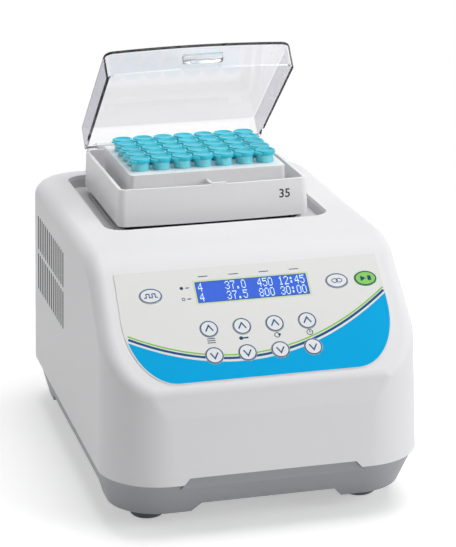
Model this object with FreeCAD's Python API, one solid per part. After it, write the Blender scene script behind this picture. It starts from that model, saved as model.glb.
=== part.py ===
import FreeCAD, Part
import math
import os

V = FreeCAD.Vector
os.makedirs("parts", exist_ok=True)

# Driving sizes of the case, in millimetres
CASE_SIDE = 29.0
CASE_BROW = 65.8
CASE_REAR = 25.6
SEAM_HEIGHT = 38.0
CASE_CORNER = 42.0
CASE_DRAFT = 4.0
CASE_WALL = 3.0
CASE_EDGE = 10.0
PANEL_TILT = 43.2
PANEL_TOP_DROP = 11.0
LIP_SETBACK = 4.12
LIP_BEVEL_DEPTH = 4.1
LIP_BEVEL_HEIGHT = 25.0
SHOULDER_RADIUS = 40.0
LIP_RADIUS = 8.0
OVERRUN = 10.0

# Base tray and feet
FOOT_HEIGHT = 12.0
FOOT_DIAMETER = 24.0
FOOT_FROM_SIDE = 34.5
FOOT_FROM_END = 50.5
FOOT_ROUND = 4.0
BASE_STEP = 1.2
BASE_CREASE = 29.0
BASE_CREASE_IN = 3.0
BASE_CREASE_IN_ENDS = 6.0
BASE_BOTTOM_IN = 8.0
BASE_BOTTOM_IN_ENDS = 18.5
BASE_ARCH_RISE = 7.0
ARCH_BESIDE_FOOT = 28.5
ARCH_BEFORE_FOOT = 22.5
BASE_ARCH_SLOPE = 6.0
BASE_FLOOR = 3.0
BASE_WALL = 3.0
NOTCH_FROM_SIDE = 52.3
NOTCH_SLOPE = 3.8
NOTCH_RISE = 4.4
FLOOR_SLOT_WIDTH = 4.0
FLOOR_SLOT_LENGTH = 60.0
FLOOR_SLOT_PITCH = 9.0
FLOOR_SLOT_COUNT = 9

# Case screws, from below into blocks on the side walls
CASE_SCREW_FROM_SIDE = 16.0
CASE_SCREW_FROM_END = 99.0
CASE_POST_DIAMETER = 11.0
CASE_BOSS_HEIGHT = 18.0
CASE_BOSS_LENGTH = 12.0
CASE_SCREW_DIAMETER = 4.0
CASE_SCREW_REACH = 11.0
CASE_SCREW_HEAD = 7.4
CASE_SCREW_HEAD_HEIGHT = 2.6
JOIN_GAP = 0.3
SCREW_PLAY = 0.15
SCREW_SLOT_SHARE = 0.6

# Side vents, two rows of upright slots
VENT_COUNT = 14
VENT_PITCH = 7.6
VENT_WIDTH = 3.6
VENT_FROM_REAR = 53.0
VENT_FROM_TOP = 21.3
VENT_UPPER_HEIGHT = 25.4
VENT_GAP = 2.8
VENT_LOWER_HEIGHT = 27.4

# Shaken tray, tube block and the well it moves in
ORBIT_RADIUS = 1.5
WELL_GAP_SIDES = 11.1
WELL_GAP_ENDS = 15.8
WELL_CORNER = 14.0
WELL_DEPTH = 9.0
WELL_FLOOR = 3.0
NECK_PLAY = 3.0
SPILL_LIP = 2.0
TRAY_LIFT = 6.5
TRAY_HEIGHT = 25.7
TRAY_MOAT_SIDES = 12.4
TRAY_MOAT_ENDS = 17.0
TRAY_DRAFT = 1.2
TRAY_CORNER = 5.0
TRAY_WALL = 2.2
TRAY_FLOOR = 2.5
TRAY_BOW = 2.0
BLOCK_MARGIN_SIDES = 10.5
BLOCK_MARGIN_ENDS = 16.0
BLOCK_UNDER_TUBES = 9.0
BLOCK_CORNER = 3.0
BLOCK_RISE = 5.8
BLOCK_PLAY = 0.5
TUBE_PITCH = 15.0
TUBE_COLUMNS = 7
TUBE_ROWS = 5
TUBE_GAP = 4.4
TUBE_STRAIGHT = 18.0
TUBE_CONE = 18.0
TUBE_TIP = 3.6
TUBE_WALL = 1.0
COLLAR_GAP = 2.8
TUBE_COLLAR_HEIGHT = 5.2
CAP_GAP = 0.8
CAP_HEIGHT = 3.4
CAP_SKIRT = 2.2
CAP_RIM = 1.9
CAP_DISH_DEPTH = 0.9
WELL_HOLE_PLAY = 0.25
CATCH_WIDTH = 10.0
CATCH_OFFSET = 3.0
CATCH_DROP = 6.0
CATCH_GAP = 0.4
CATCH_LIP = 0.4
CATCH_RAISE = 1.3
CATCH_RIB = 1.6

# Clear lid, hinged at the tray's rear rim
LID_OPEN = 38.0
LID_ROOM = 2.7
LID_WALL = 2.2
LID_INSET = 0.9
LID_CORNER = 6.0
LID_TOP_ROUND = 3.0
LID_BOW = 4.0
LID_REST_GAP = 0.5
LID_FRONT_SETBACK = 6.6
HINGE_BEHIND = 2.2
HINGE_LIFT = 1.8
HINGE_PIN_DIAMETER = 2.4
HINGE_BARREL_DIAMETER = 4.8
HINGE_FROM_SIDE = 14.5
HINGE_TRAY_WIDTH = 10.0
HINGE_EAR_WIDTH = 8.0
HINGE_SIDE_GAP = 0.4
HINGE_WALL_BEHIND = 4.0
HINGE_PLAY = 0.08
HINGE_WEB_DROP = 7.0
LATCH_WIDTH = 28.0
LATCH_HEIGHT = 5.0
LATCH_REACH = 6.5
LATCH_ROUND = 1.6
LATCH_RAISE = 3.0

# Shaker drive under the well
DRIVE_MARGIN_ENDS = 12.0
DRIVE_MARGIN_SIDES = 15.0
PLATE_THICKNESS = 6.0
PLATE_CORNER = 8.0
PILLAR_HEIGHT = 66.0
PLATFORM_GAP = 14.0
SHAFT_DIAMETER = 8.0
SHAFT_BEARING_DIAMETER = 19.0
IDLER_DIAMETER = 6.0
IDLER_BEARING_DIAMETER = 15.0
IDLER_INSET_SIDES = 23.0
IDLER_INSET_ENDS = 22.0
IDLER_WEB_DIAMETER = 14.0
RUNNING_PLAY = 0.04
WEB_GAP = 1.5
COUNTERWEIGHT_RADIUS = 25.0
COUNTERWEIGHT_CORE = 14.0
COUNTERWEIGHT_RIM = 3.0
COUNTERWEIGHT_HEIGHT = 7.0
MOTOR_DIAMETER = 54.0
MOTOR_CLEARANCE = 17.0
MOTOR_AIR = 10.8
MOTOR_SOCKET = 8.0
MOTOR_BOSS_DIAMETER = 24.0
MOTOR_BOSS_HEIGHT = 3.0
PILLAR_DIAMETER = 10.0
PILLAR_INSET_SIDES = 8.0
PILLAR_INSET_ENDS = 17.0
CHASSIS_FROM_SIDE = 24.0
CHASSIS_FROM_END = 25.0
CHASSIS_THICKNESS = 2.0
CHASSIS_CORNER = 22.0
CHASSIS_LIFT = 2.0
CHASSIS_BOSS_DIAMETER = 12.0
SMALL_SCREW_DIAMETER = 4.0
SMALL_SCREW_HEAD = 7.0
SMALL_SCREW_HEAD_HEIGHT = 2.4
SMALL_SCREW_LENGTH = 8.0

# Heating and cooling stack
SINK_MARGIN_SIDES = 4.0
SINK_MARGIN_ENDS = 3.5
SINK_FIN_HEIGHT = 22.0
SINK_FIN_THICKNESS = 2.0
SINK_FIN_COUNT = 13
SINK_BASE = 6.0
PELTIER_SIZE = 40.0
PELTIER_THICKNESS = 4.0
PELTIER_GAP = 8.0
SEAT_THICKNESS = 6.0
SEAT_MARGIN = 0.5
FRAME_WALL = 4.0
FRAME_PLAY = 0.3
TRAY_SCREW_DIAMETER = 2.2
TRAY_SCREW_LENGTH = 9.0
TRAY_SCREW_HEAD = 3.6
TRAY_SCREW_HEAD_HEIGHT = 1.4
TRAY_SCREW_SHARE = 0.6

# Control panel, measured down the slope from the top edge of the overlay
OVERLAY_THICKNESS = 0.5
OVERLAY_FROM_SIDE = 18.0
OVERLAY_TAPER = 1.0
OVERLAY_FOOT = 18.3
PANEL_FOOT = 5.3
OVERLAY_ROUND_ACROSS = 30.0
OVERLAY_ROUND_ALONG = 46.0
OVERLAY_ROUND_STEPS = 8
WINDOW_WIDTH = 78.4
WINDOW_HEIGHT = 18.3
WINDOW_DOWN = 18.4
WINDOW_OFFSET = 0.9
WINDOW_THICKNESS = 1.5
WINDOW_LEDGE = 1.0
KEY_DIAMETER = 11.8
KEY_CENTRE = -0.7
KEY_SPACE = 10.2
KEY_COUNT = 4
KEY_ROW_BELOW_WINDOW = 27.5
KEY_ROW_STEP = 19.5
OVAL_WIDTH = 15.0
OVAL_HEIGHT = 11.0
OVAL_RAISE = 0.2
OVAL_FROM_LEFT = 22.6
OVAL_STEP = 19.8
OVAL_FROM_RIGHT = 11.6
KEY_PLAY = 0.3
KEY_PROUD = 0.35
KEY_FLANGE = 1.0
KEY_FLANGE_THICKNESS = 1.2
KEY_TRAVEL = 0.5
SWITCH_GAP = 0.1
SWITCH_PLUNGER = 3.5
SWITCH_PLUNGER_HEIGHT = 1.0
SWITCH_SIZE = 6.0
SWITCH_HEIGHT = 3.5
BOARD_THICKNESS = 1.6
BOARD_FROM_SIDE = 22.0
BOARD_SHORTER = 11.7
BOARD_RAISE = 1.85
BOARD_POST_DIAMETER = 7.0
BOARD_POST_INSET = 6.0
BOARD_POST_LOWER = 2.0
BOARD_POST_LOW_INSET = 26.0
BOARD_POST_EDGE = 5.0
BOARD_SCREW_DIAMETER = 2.5
BOARD_SCREW_HEAD = 5.0
BOARD_SCREW_HEAD_HEIGHT = 1.8
BOARD_SCREW_LENGTH = 5.0
DISPLAY_BESIDE = 2.8
DISPLAY_ABOVE = 3.85
DISPLAY_GAP = 0.3

# Rear wall fittings
FAN_SIZE = 60.0
FAN_DEPTH = 15.0
FAN_FROM_MIDDLE = 3.0
FAN_RAISE = 62.0
FAN_BORE_EDGE = 2.0
FAN_HUB = 24.0
FAN_BLADES = 7
FAN_BLADE_THICKNESS = 1.6
FAN_BLADE_TURN = 35.0
FAN_TIP_GAP = 1.0
FAN_STRUT_WIDTH = 4.0
FAN_STRUT_DEPTH = 2.5
FAN_SPINDLE = 3.0
FAN_PAD_EDGE = 3.0
FAN_PAD_IN = 9.0
FAN_HOLE_EDGE = 5.0
FAN_SCREW_DIAMETER = 3.4
FAN_SCREW_HEAD = 6.0
FAN_SCREW_HEAD_HEIGHT = 2.0
FAN_SCREW_IN = 4.8
GRILLE_SLOT = 3.2
GRILLE_PITCH = 6.2
GRILLE_COUNT = 8
RECESS_FROM_MIDDLE = 13.5
INLET_EDGE = 0.8
INLET_TO_SWITCH = 1.8
SWITCH_EDGE = 4.0
INLET_ABOVE = 4.0
RECESS_RAISE = 38.0
RECESS_IN = 8.0
RECESS_WALL = 3.0
RECESS_CORNER = 2.5
INLET_WIDTH = 27.4
INLET_HEIGHT = 20.0
INLET_FLANGE = 2.0
INLET_FLANGE_THICKNESS = 2.4
INLET_DEPTH = 24.0
INLET_SHELL = 1.7
INLET_CAVITY_DEPTH = 17.0
INLET_PIN_THICKNESS = 2.0
INLET_PIN_HEIGHT = 4.0
INLET_PIN_SPACING = 7.0
INLET_PIN_RAISE = 2.0
INLET_PIN_LENGTH = 14.0
ROCKER_FRAME_WIDTH = 15.0
ROCKER_FRAME_HEIGHT = 21.0
ROCKER_FLANGE = 1.0
ROCKER_DEPTH = 14.0
ROCKER_FROM_SIDE = 1.7
ROCKER_FROM_END = 2.5
ROCKER_THICKNESS = 4.2
ROCKER_PIVOT_IN = 2.2
ROCKER_PIN = 2.4
ROCKER_TILT = 10.0
ROCKER_GAP = 0.35

# Electronics on the chassis
SUPPLY_WIDTH = 96.0
SUPPLY_LENGTH = 64.0
SUPPLY_HEIGHT = 34.0
SUPPLY_EDGE = 6.0
SUPPLY_GAP = 1.0
SUPPLY_WALL = 1.2
SUPPLY_HOLE = 4.0
SUPPLY_HOLE_PITCH = 9.0
DRIVER_GAP = 3.0
DRIVER_FROM_FRONT = 87.0
DRIVER_LENGTH = 90.0
DRIVER_EDGE = 13.0
DRIVER_LIFT = 8.0
DRIVER_CAN_DIAMETER = 12.0
DRIVER_CAN_HEIGHT = 18.0
DRIVER_STANDOFF = 6.0

# Sizes that follow, from the tubes outwards
TUBE_DIAMETER = TUBE_PITCH - TUBE_GAP
TUBE_COLLAR = TUBE_PITCH - COLLAR_GAP
CAP_DIAMETER = TUBE_PITCH - CAP_GAP
CAP_DISH = CAP_DIAMETER - 2 * CAP_RIM
BLOCK_WIDTH = (TUBE_COLUMNS - 1) * TUBE_PITCH + 2 * BLOCK_MARGIN_SIDES
BLOCK_LENGTH = (TUBE_ROWS - 1) * TUBE_PITCH + 2 * BLOCK_MARGIN_ENDS
BLOCK_HEIGHT = TUBE_STRAIGHT + TUBE_CONE + BLOCK_UNDER_TUBES
SEAT_WIDTH = BLOCK_WIDTH + 2 * SEAT_MARGIN
SEAT_LENGTH = BLOCK_LENGTH + 2 * SEAT_MARGIN
FRAME_INNER_WIDTH = SEAT_WIDTH + 2 * FRAME_PLAY
FRAME_INNER_LENGTH = SEAT_LENGTH + 2 * FRAME_PLAY
FRAME_WIDTH = FRAME_INNER_WIDTH + 2 * FRAME_WALL
FRAME_LENGTH = FRAME_INNER_LENGTH + 2 * FRAME_WALL
SINK_WIDTH = SEAT_WIDTH + 2 * SINK_MARGIN_SIDES
SINK_LENGTH = SEAT_LENGTH + 2 * SINK_MARGIN_ENDS
PELTIER_SPACING = PELTIER_SIZE + PELTIER_GAP
DRIVE_WIDTH = SINK_WIDTH + 2 * DRIVE_MARGIN_SIDES
DRIVE_LENGTH = SINK_LENGTH + 2 * DRIVE_MARGIN_ENDS
IDLER_ACROSS = DRIVE_WIDTH - 2 * IDLER_INSET_SIDES
IDLER_ALONG = DRIVE_LENGTH - 2 * IDLER_INSET_ENDS
PILLAR_ACROSS = DRIVE_WIDTH - 2 * PILLAR_INSET_SIDES
PILLAR_ALONG = DRIVE_LENGTH - 2 * PILLAR_INSET_ENDS
TRAY_WIDTH = BLOCK_WIDTH + 2 * TRAY_MOAT_SIDES
TRAY_LENGTH = BLOCK_LENGTH + 2 * TRAY_MOAT_ENDS
LID_WIDTH = TRAY_WIDTH - 2 * LID_INSET
HINGE_CENTRE = LID_WIDTH / 2 - HINGE_FROM_SIDE
WELL_WIDTH = TRAY_WIDTH + 2 * WELL_GAP_SIDES
WELL_LENGTH = TRAY_LENGTH + 2 * WELL_GAP_ENDS
CASE_WIDTH = WELL_WIDTH + 2 * CASE_SIDE

# The panel's rows, down the slope, and the depth of the case
KEY_ROW_UP = WINDOW_DOWN + KEY_ROW_BELOW_WINDOW
KEY_ROW_DOWN = KEY_ROW_UP + KEY_ROW_STEP
OVERLAY_LENGTH = KEY_ROW_DOWN + OVERLAY_FOOT
PANEL_LENGTH = OVERLAY_LENGTH + PANEL_FOOT
PANEL_TOP_FROM_FRONT = PANEL_LENGTH * math.cos(math.radians(PANEL_TILT)) + LIP_SETBACK
CASE_DEPTH = PANEL_TOP_FROM_FRONT + CASE_BROW + WELL_LENGTH + CASE_REAR
FRONT_Y = -CASE_DEPTH / 2
REAR_Y = CASE_DEPTH / 2
PANEL_TOP_Y = FRONT_Y + PANEL_TOP_FROM_FRONT
SHAKE_Y = REAR_Y - CASE_REAR - WELL_LENGTH / 2

# Heights, from the bench upwards
BASE_BOTTOM = FOOT_HEIGHT
FLOOR_UNDER = BASE_BOTTOM + BASE_ARCH_RISE
FLOOR_TOP = FLOOR_UNDER + BASE_FLOOR
CHASSIS_TOP = FLOOR_TOP + CHASSIS_LIFT + CHASSIS_THICKNESS
DECK_BOTTOM = CHASSIS_TOP + PILLAR_HEIGHT
DECK_TOP = DECK_BOTTOM + PLATE_THICKNESS
PLATFORM_BOTTOM = DECK_TOP + PLATFORM_GAP
PLATFORM_TOP = PLATFORM_BOTTOM + PLATE_THICKNESS
SINK_TOP = PLATFORM_TOP + SINK_FIN_HEIGHT + SINK_BASE
SEAT_BOTTOM = SINK_TOP + PELTIER_THICKNESS
BLOCK_BOTTOM = SEAT_BOTTOM + SEAT_THICKNESS
BLOCK_TOP = BLOCK_BOTTOM + BLOCK_HEIGHT
TRAY_TOP = BLOCK_TOP - BLOCK_RISE
TRAY_BOTTOM = TRAY_TOP - TRAY_HEIGHT
WELL_BOTTOM = TRAY_BOTTOM - TRAY_LIFT
CASE_TOP = WELL_BOTTOM + WELL_DEPTH
PANEL_TOP_Z = CASE_TOP - PANEL_TOP_DROP
MOTOR_LENGTH = PILLAR_HEIGHT - MOTOR_BOSS_HEIGHT - MOTOR_CLEARANCE
TRAY_REAR = SHAKE_Y + TRAY_LENGTH / 2 - TRAY_DRAFT
TRAY_FRONT = SHAKE_Y - TRAY_LENGTH / 2 + TRAY_DRAFT
HINGE_Y = TRAY_REAR + HINGE_BEHIND
HINGE_Z = TRAY_TOP + HINGE_LIFT
LID_BOTTOM = TRAY_TOP + LID_REST_GAP
LID_HEIGHT = BLOCK_TOP + TUBE_COLLAR_HEIGHT + CAP_HEIGHT + LID_ROOM + LID_WALL - LID_BOTTOM

# Places that follow from the case
FOOT_ACROSS = CASE_WIDTH - 2 * FOOT_FROM_SIDE
FOOT_ALONG = CASE_DEPTH - 2 * FOOT_FROM_END
BASE_ARCH_WIDTH = FOOT_ACROSS - 2 * ARCH_BESIDE_FOOT
BASE_ARCH_LENGTH = FOOT_ALONG - 2 * ARCH_BEFORE_FOOT
NOTCH_WIDTH = CASE_WIDTH - 2 * NOTCH_FROM_SIDE
CASE_SCREW_ACROSS = CASE_WIDTH - 2 * CASE_SCREW_FROM_SIDE
CASE_SCREW_ALONG = CASE_DEPTH - 2 * CASE_SCREW_FROM_END
CASE_SCREW_LENGTH = SEAM_HEIGHT + CASE_SCREW_REACH - FLOOR_UNDER
VENT_REAR_Y = REAR_Y - VENT_FROM_REAR
VENT_TOP = CASE_TOP - VENT_FROM_TOP
CHASSIS_WIDTH = CASE_WIDTH - 2 * CHASSIS_FROM_SIDE
CHASSIS_LENGTH = CASE_DEPTH - 2 * CHASSIS_FROM_END
OVERLAY_HALF_WIDTH = CASE_WIDTH / 2 - OVERLAY_FROM_SIDE
OVERLAY_HALF_TOP = OVERLAY_HALF_WIDTH - OVERLAY_TAPER
KEY_PITCH = KEY_DIAMETER + KEY_SPACE
KEY_FIRST = KEY_CENTRE - (KEY_COUNT - 1) / 2 * KEY_PITCH
OVAL_DOWN = WINDOW_DOWN - OVAL_RAISE
OVAL_LEFT = OVAL_FROM_LEFT - OVERLAY_HALF_WIDTH
OVAL_RIGHT = OVERLAY_HALF_WIDTH - OVAL_FROM_RIGHT
OVAL_MIDDLE = OVAL_RIGHT - OVAL_STEP
DISPLAY_WIDTH = WINDOW_WIDTH + 2 * DISPLAY_BESIDE
DISPLAY_HEIGHT = WINDOW_HEIGHT + 2 * DISPLAY_ABOVE
BOARD_WIDTH = CASE_WIDTH - 2 * BOARD_FROM_SIDE
BOARD_LENGTH = OVERLAY_LENGTH - BOARD_SHORTER
BOARD_DOWN = OVERLAY_LENGTH / 2 - BOARD_RAISE
BOARD_POST_ACROSS = BOARD_WIDTH - 2 * BOARD_POST_INSET
BOARD_POST_DOWN = BOARD_DOWN + BOARD_POST_LOWER
BOARD_POST_LOW_ACROSS = BOARD_WIDTH - 2 * BOARD_POST_LOW_INSET
BOARD_POST_LOW_DOWN = BOARD_DOWN + BOARD_LENGTH / 2 - BOARD_POST_EDGE
WINDOW_Z = OVERLAY_THICKNESS - WINDOW_THICKNESS
KEY_TOP = OVERLAY_THICKNESS + KEY_PROUD
KEY_BOTTOM = -CASE_WALL - KEY_FLANGE_THICKNESS
SWITCH_TOP = KEY_BOTTOM - KEY_TRAVEL - SWITCH_GAP
BOARD_TOP = SWITCH_TOP - SWITCH_PLUNGER_HEIGHT - SWITCH_HEIGHT

# Rear wall and electronics
FAN_BORE = FAN_SIZE - 2 * FAN_BORE_EDGE
FAN_PAD = FAN_SIZE + 2 * FAN_PAD_EDGE
FAN_HOLE_SPACING = FAN_SIZE - 2 * FAN_HOLE_EDGE
FAN_X = -FAN_PAD / 2 - FAN_FROM_MIDDLE
FAN_HEIGHT = SEAM_HEIGHT + FAN_RAISE
FAN_PAD_FACE = REAR_Y - FAN_PAD_IN
FAN_SCREW_SEAT = REAR_Y - FAN_SCREW_IN
INLET_X = RECESS_FROM_MIDDLE + INLET_EDGE + INLET_FLANGE + INLET_WIDTH / 2
SWITCH_X = INLET_X + INLET_WIDTH / 2 + INLET_FLANGE + INLET_TO_SWITCH + ROCKER_FRAME_WIDTH / 2
RECESS_WIDTH = SWITCH_X + ROCKER_FRAME_WIDTH / 2 + SWITCH_EDGE - RECESS_FROM_MIDDLE
RECESS_HEIGHT = INLET_HEIGHT + 2 * INLET_FLANGE + 2 * INLET_ABOVE
RECESS_X = RECESS_FROM_MIDDLE + RECESS_WIDTH / 2
RECESS_LEVEL = SEAM_HEIGHT + RECESS_RAISE
RECESS_FACE = REAR_Y - RECESS_IN
INLET_CAVITY_WIDTH = INLET_WIDTH - 2 * INLET_SHELL
INLET_CAVITY_HEIGHT = INLET_HEIGHT - 2 * INLET_SHELL
ROCKER_CUT_WIDTH = ROCKER_FRAME_WIDTH - 2 * ROCKER_FLANGE
ROCKER_CUT_HEIGHT = ROCKER_FRAME_HEIGHT - 2 * ROCKER_FLANGE
ROCKER_WIDTH = ROCKER_CUT_WIDTH - 2 * ROCKER_FROM_SIDE
ROCKER_LENGTH = ROCKER_CUT_HEIGHT - 2 * ROCKER_FROM_END
SUPPLY_X = SUPPLY_WIDTH / 2 + SUPPLY_EDGE - CHASSIS_WIDTH / 2
SUPPLY_Y = SUPPLY_LENGTH / 2 + SMALL_SCREW_HEAD / 2 + SUPPLY_GAP - FOOT_ALONG / 2
DRIVER_WIDTH = CHASSIS_WIDTH - SUPPLY_WIDTH - SUPPLY_EDGE - DRIVER_GAP - DRIVER_EDGE
DRIVER_X = CHASSIS_WIDTH / 2 - DRIVER_EDGE - DRIVER_WIDTH / 2
DRIVER_Y = FRONT_Y + DRIVER_FROM_FRONT


def save(shape, name):
    """Write one sub-part to its own file."""
    shape.exportStep("parts/" + name + ".step")
    return shape


def move(shape, x, y, z):
    """A copy of a shape, shifted."""
    return shape.translated(V(x, y, z))


def box(x0, x1, y0, y1, z0, z1):
    """A plain block between two corners."""
    return Part.makeBox(x1 - x0, y1 - y0, z1 - z0, V(x0, y0, z0))


def centred_box(width, length, z0, z1, x=0, y=0):
    """A plain block centred on a place."""
    return box(x - width / 2, x + width / 2, y - length / 2, y + length / 2, z0, z1)


def post(diameter, z0, z1, x=0, y=0):
    """An upright cylinder."""
    return Part.makeCylinder(diameter / 2, z1 - z0, V(x, y, z0))


def outline(width, length, radius, z, y=0, bow=0):
    """A rounded rectangle with an optional bowed front edge."""
    a = width / 2
    b = length / 2
    k = radius * (1 - math.sqrt(0.5))
    if bow:
        front = Part.Arc(V(radius - a, y - b, z), V(0, y - b - bow, z), V(a - radius, y - b, z))
    else:
        front = Part.LineSegment(V(radius - a, y - b, z), V(a - radius, y - b, z))
    pieces = [
        front,
        Part.Arc(V(a - radius, y - b, z), V(a - k, y - b + k, z), V(a, y - b + radius, z)),
        Part.LineSegment(V(a, y - b + radius, z), V(a, y + b - radius, z)),
        Part.Arc(V(a, y + b - radius, z), V(a - k, y + b - k, z), V(a - radius, y + b, z)),
        Part.LineSegment(V(a - radius, y + b, z), V(radius - a, y + b, z)),
        Part.Arc(V(radius - a, y + b, z), V(k - a, y + b - k, z), V(-a, y + b - radius, z)),
        Part.LineSegment(V(-a, y + b - radius, z), V(-a, y - b + radius, z)),
        Part.Arc(V(-a, y - b + radius, z), V(k - a, y - b + k, z), V(radius - a, y - b, z)),
    ]
    return Part.Wire([piece.toShape() for piece in pieces])


def rounded_block(width, length, radius, z0, z1, y=0):
    """An upright block with rounded corners."""
    face = Part.Face(outline(width, length, radius, z0, y))
    return face.extrude(V(0, 0, z1 - z0))


def bowed_block(width, length, radius, z0, z1, y, bow):
    """An upright block with a bowed front and rounded corners."""
    a = width / 2
    front = y - length / 2
    rear = y + length / 2
    edges = [
        Part.Arc(V(-a, front, z0), V(0, front - bow, z0), V(a, front, z0)),
        Part.LineSegment(V(a, front, z0), V(a, rear, z0)),
        Part.LineSegment(V(a, rear, z0), V(-a, rear, z0)),
        Part.LineSegment(V(-a, rear, z0), V(-a, front, z0)),
    ]
    body = Part.Face(Part.Wire([edge.toShape() for edge in edges])).extrude(V(0, 0, z1 - z0))
    return body.makeFillet(radius, [e for e in body.Edges if e.BoundBox.ZLength > (z1 - z0) / 2])


def tapered(sections, y=0, bow=0):
    """A solid through rounded rectangles given as width, length, radius and height."""
    wires = [outline(w, l, r, z, y, bow) for w, l, r, z in sections]
    return Part.makeLoft(wires, True, True)


def four(across, along, y=0):
    """Four places on a rectangle."""
    return [(sx * across / 2, y + sy * along / 2) for sx in (-1, 1) for sy in (-1, 1)]


def soften(points, radii):
    """A closed outline in the YZ plane with a tangent arc at each corner."""
    count = len(points)
    stops = []
    for i, (corner, radius) in enumerate(zip(points, radii)):
        here = V(0, corner[0], corner[1])
        if not radius:
            stops.append((here, None, here))
            continue
        back = V(0, *points[i - 1]).sub(here).normalize()
        ahead = V(0, *points[(i + 1) % count]).sub(here).normalize()
        half = back.getAngle(ahead) / 2
        middle = back.add(ahead).normalize()
        centre = here.add(middle * (radius / math.sin(half)))
        reach = radius / math.tan(half)
        stops.append((here.add(back * reach), centre.sub(middle * radius), here.add(ahead * reach)))
    edges = []
    for i, (start, mid, end) in enumerate(stops):
        if mid is not None:
            edges.append(Part.Arc(start, mid, end).toShape())
        edges.append(Part.LineSegment(end, stops[(i + 1) % count][0]).toShape())
    return Part.Wire(edges)


def on_panel(shape):
    """Move a shape from panel coordinates, with Y up the slope, to its place."""
    turned = shape.copy()
    turned.Placement = FreeCAD.Placement(
        V(0, PANEL_TOP_Y, PANEL_TOP_Z), FreeCAD.Rotation(V(1, 0, 0), PANEL_TILT)
    ).multiply(shape.Placement)
    return turned


def case_profile():
    """The side view of the upper case as a wire in the YZ plane."""
    tilt = math.radians(PANEL_TILT)
    slope = math.tan(tilt)
    lip_y = PANEL_TOP_Y - PANEL_LENGTH * math.cos(tilt)
    lip_z = PANEL_TOP_Z - PANEL_LENGTH * math.sin(tilt)
    under_z = SEAM_HEIGHT - OVERRUN
    lean = LIP_BEVEL_DEPTH / LIP_BEVEL_HEIGHT
    points = [
        (lip_y - (lip_z - under_z) * lean, under_z),
        (lip_y, lip_z),
        (PANEL_TOP_Y + PANEL_TOP_DROP / slope, CASE_TOP),
        (REAR_Y + OVERRUN, CASE_TOP),
        (REAR_Y + OVERRUN, under_z),
    ]
    return soften(points, [0, LIP_RADIUS, SHOULDER_RADIUS, 0, 0])


def case_plan(inset, z0):
    """The upright walls of the case, drawn in by an inset."""
    top = CASE_TOP + OVERRUN
    draft = CASE_DRAFT * (top - SEAM_HEIGHT) / (CASE_TOP - SEAM_HEIGHT)
    width = CASE_WIDTH - 2 * inset
    length = CASE_DEPTH - 2 * inset
    radius = CASE_CORNER - inset
    spread = CASE_DRAFT * (SEAM_HEIGHT - z0) / (CASE_TOP - SEAM_HEIGHT)
    return tapered([
        (width + 2 * spread, length + 2 * spread, radius, z0),
        (width - 2 * draft, length - 2 * draft, radius - draft, top),
    ])


def case_form(inset):
    """The closed outer form of the upper case, or the hollow inside it."""
    z0 = SEAM_HEIGHT - (OVERRUN / 2 if inset else 0)
    plan = case_plan(inset, z0)
    wire = case_profile()
    if inset:
        wire = wire.makeOffset2D(-inset)
    sweep = Part.Face(wire).extrude(V(2 * CASE_WIDTH, 0, 0))
    sweep.translate(V(-CASE_WIDTH, 0, 0))
    body = plan.common(sweep).Solids[0]
    radius = CASE_EDGE - inset
    brow = [face for face in sweep.Faces if face.BoundBox.XLength > CASE_WIDTH]
    walls = [face for face in plan.Faces if face.BoundBox.ZLength > OVERRUN]
    rim = []
    for edge in body.Edges:
        middle = Part.Vertex(edge.valueAt((edge.FirstParameter + edge.LastParameter) / 2))
        if middle.Point.z < SEAM_HEIGHT + LIP_BEVEL_HEIGHT:
            continue
        on_brow = any(face.distToShape(middle)[0] < RUNNING_PLAY for face in brow)
        on_wall = any(face.distToShape(middle)[0] < RUNNING_PLAY for face in walls)
        if on_brow and on_wall:
            rim.append(edge)
    return body.makeFillet(radius, rim)


def ellipse_prism(width, height, z0, z1, x, y):
    """An oval block in panel coordinates."""
    curve = Part.Ellipse(V(x, y, z0), width / 2, height / 2)
    return Part.Face(Part.Wire(curve.toShape())).extrude(V(0, 0, z1 - z0))


def key_places():
    """Name, place and outline size of every key on the panel."""
    keys = []
    for i in range(KEY_COUNT):
        x = KEY_FIRST + i * KEY_PITCH
        keys.append(("key_up_%d" % (i + 1), x, -KEY_ROW_UP, KEY_DIAMETER, None))
        keys.append(("key_down_%d" % (i + 1), x, -KEY_ROW_DOWN, KEY_DIAMETER, None))
    keys.append(("key_pulse", OVAL_LEFT, -OVAL_DOWN, OVAL_WIDTH, OVAL_HEIGHT))
    keys.append(("key_link", OVAL_MIDDLE, -OVAL_DOWN, OVAL_WIDTH, OVAL_HEIGHT))
    keys.append(("key_start", OVAL_RIGHT, -OVAL_DOWN, OVAL_WIDTH, OVAL_HEIGHT))
    return keys


def key_prism(key, grow, z0, z1):
    """A key's outline, grown by an amount, as a block along the panel's normal."""
    _, x, y, width, height = key
    if height is None:
        return post(width + 2 * grow, z0, z1, x, y)
    return ellipse_prism(width + 2 * grow, height + 2 * grow, z0, z1, x, y)


def window_box(margin, z0, z1):
    """The display window's outline, grown by a margin, in panel coordinates."""
    return centred_box(
        WINDOW_WIDTH + 2 * margin, WINDOW_HEIGHT + 2 * margin, z0, z1, WINDOW_OFFSET, -WINDOW_DOWN
    )


def board_post_places():
    """Where posts carry the control board, in panel coordinates."""
    high = [(side * BOARD_POST_ACROSS / 2, -BOARD_POST_DOWN) for side in (-1, 1)]
    low = [(side * BOARD_POST_LOW_ACROSS / 2, -BOARD_POST_LOW_DOWN) for side in (-1, 1)]
    return high + low


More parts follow.
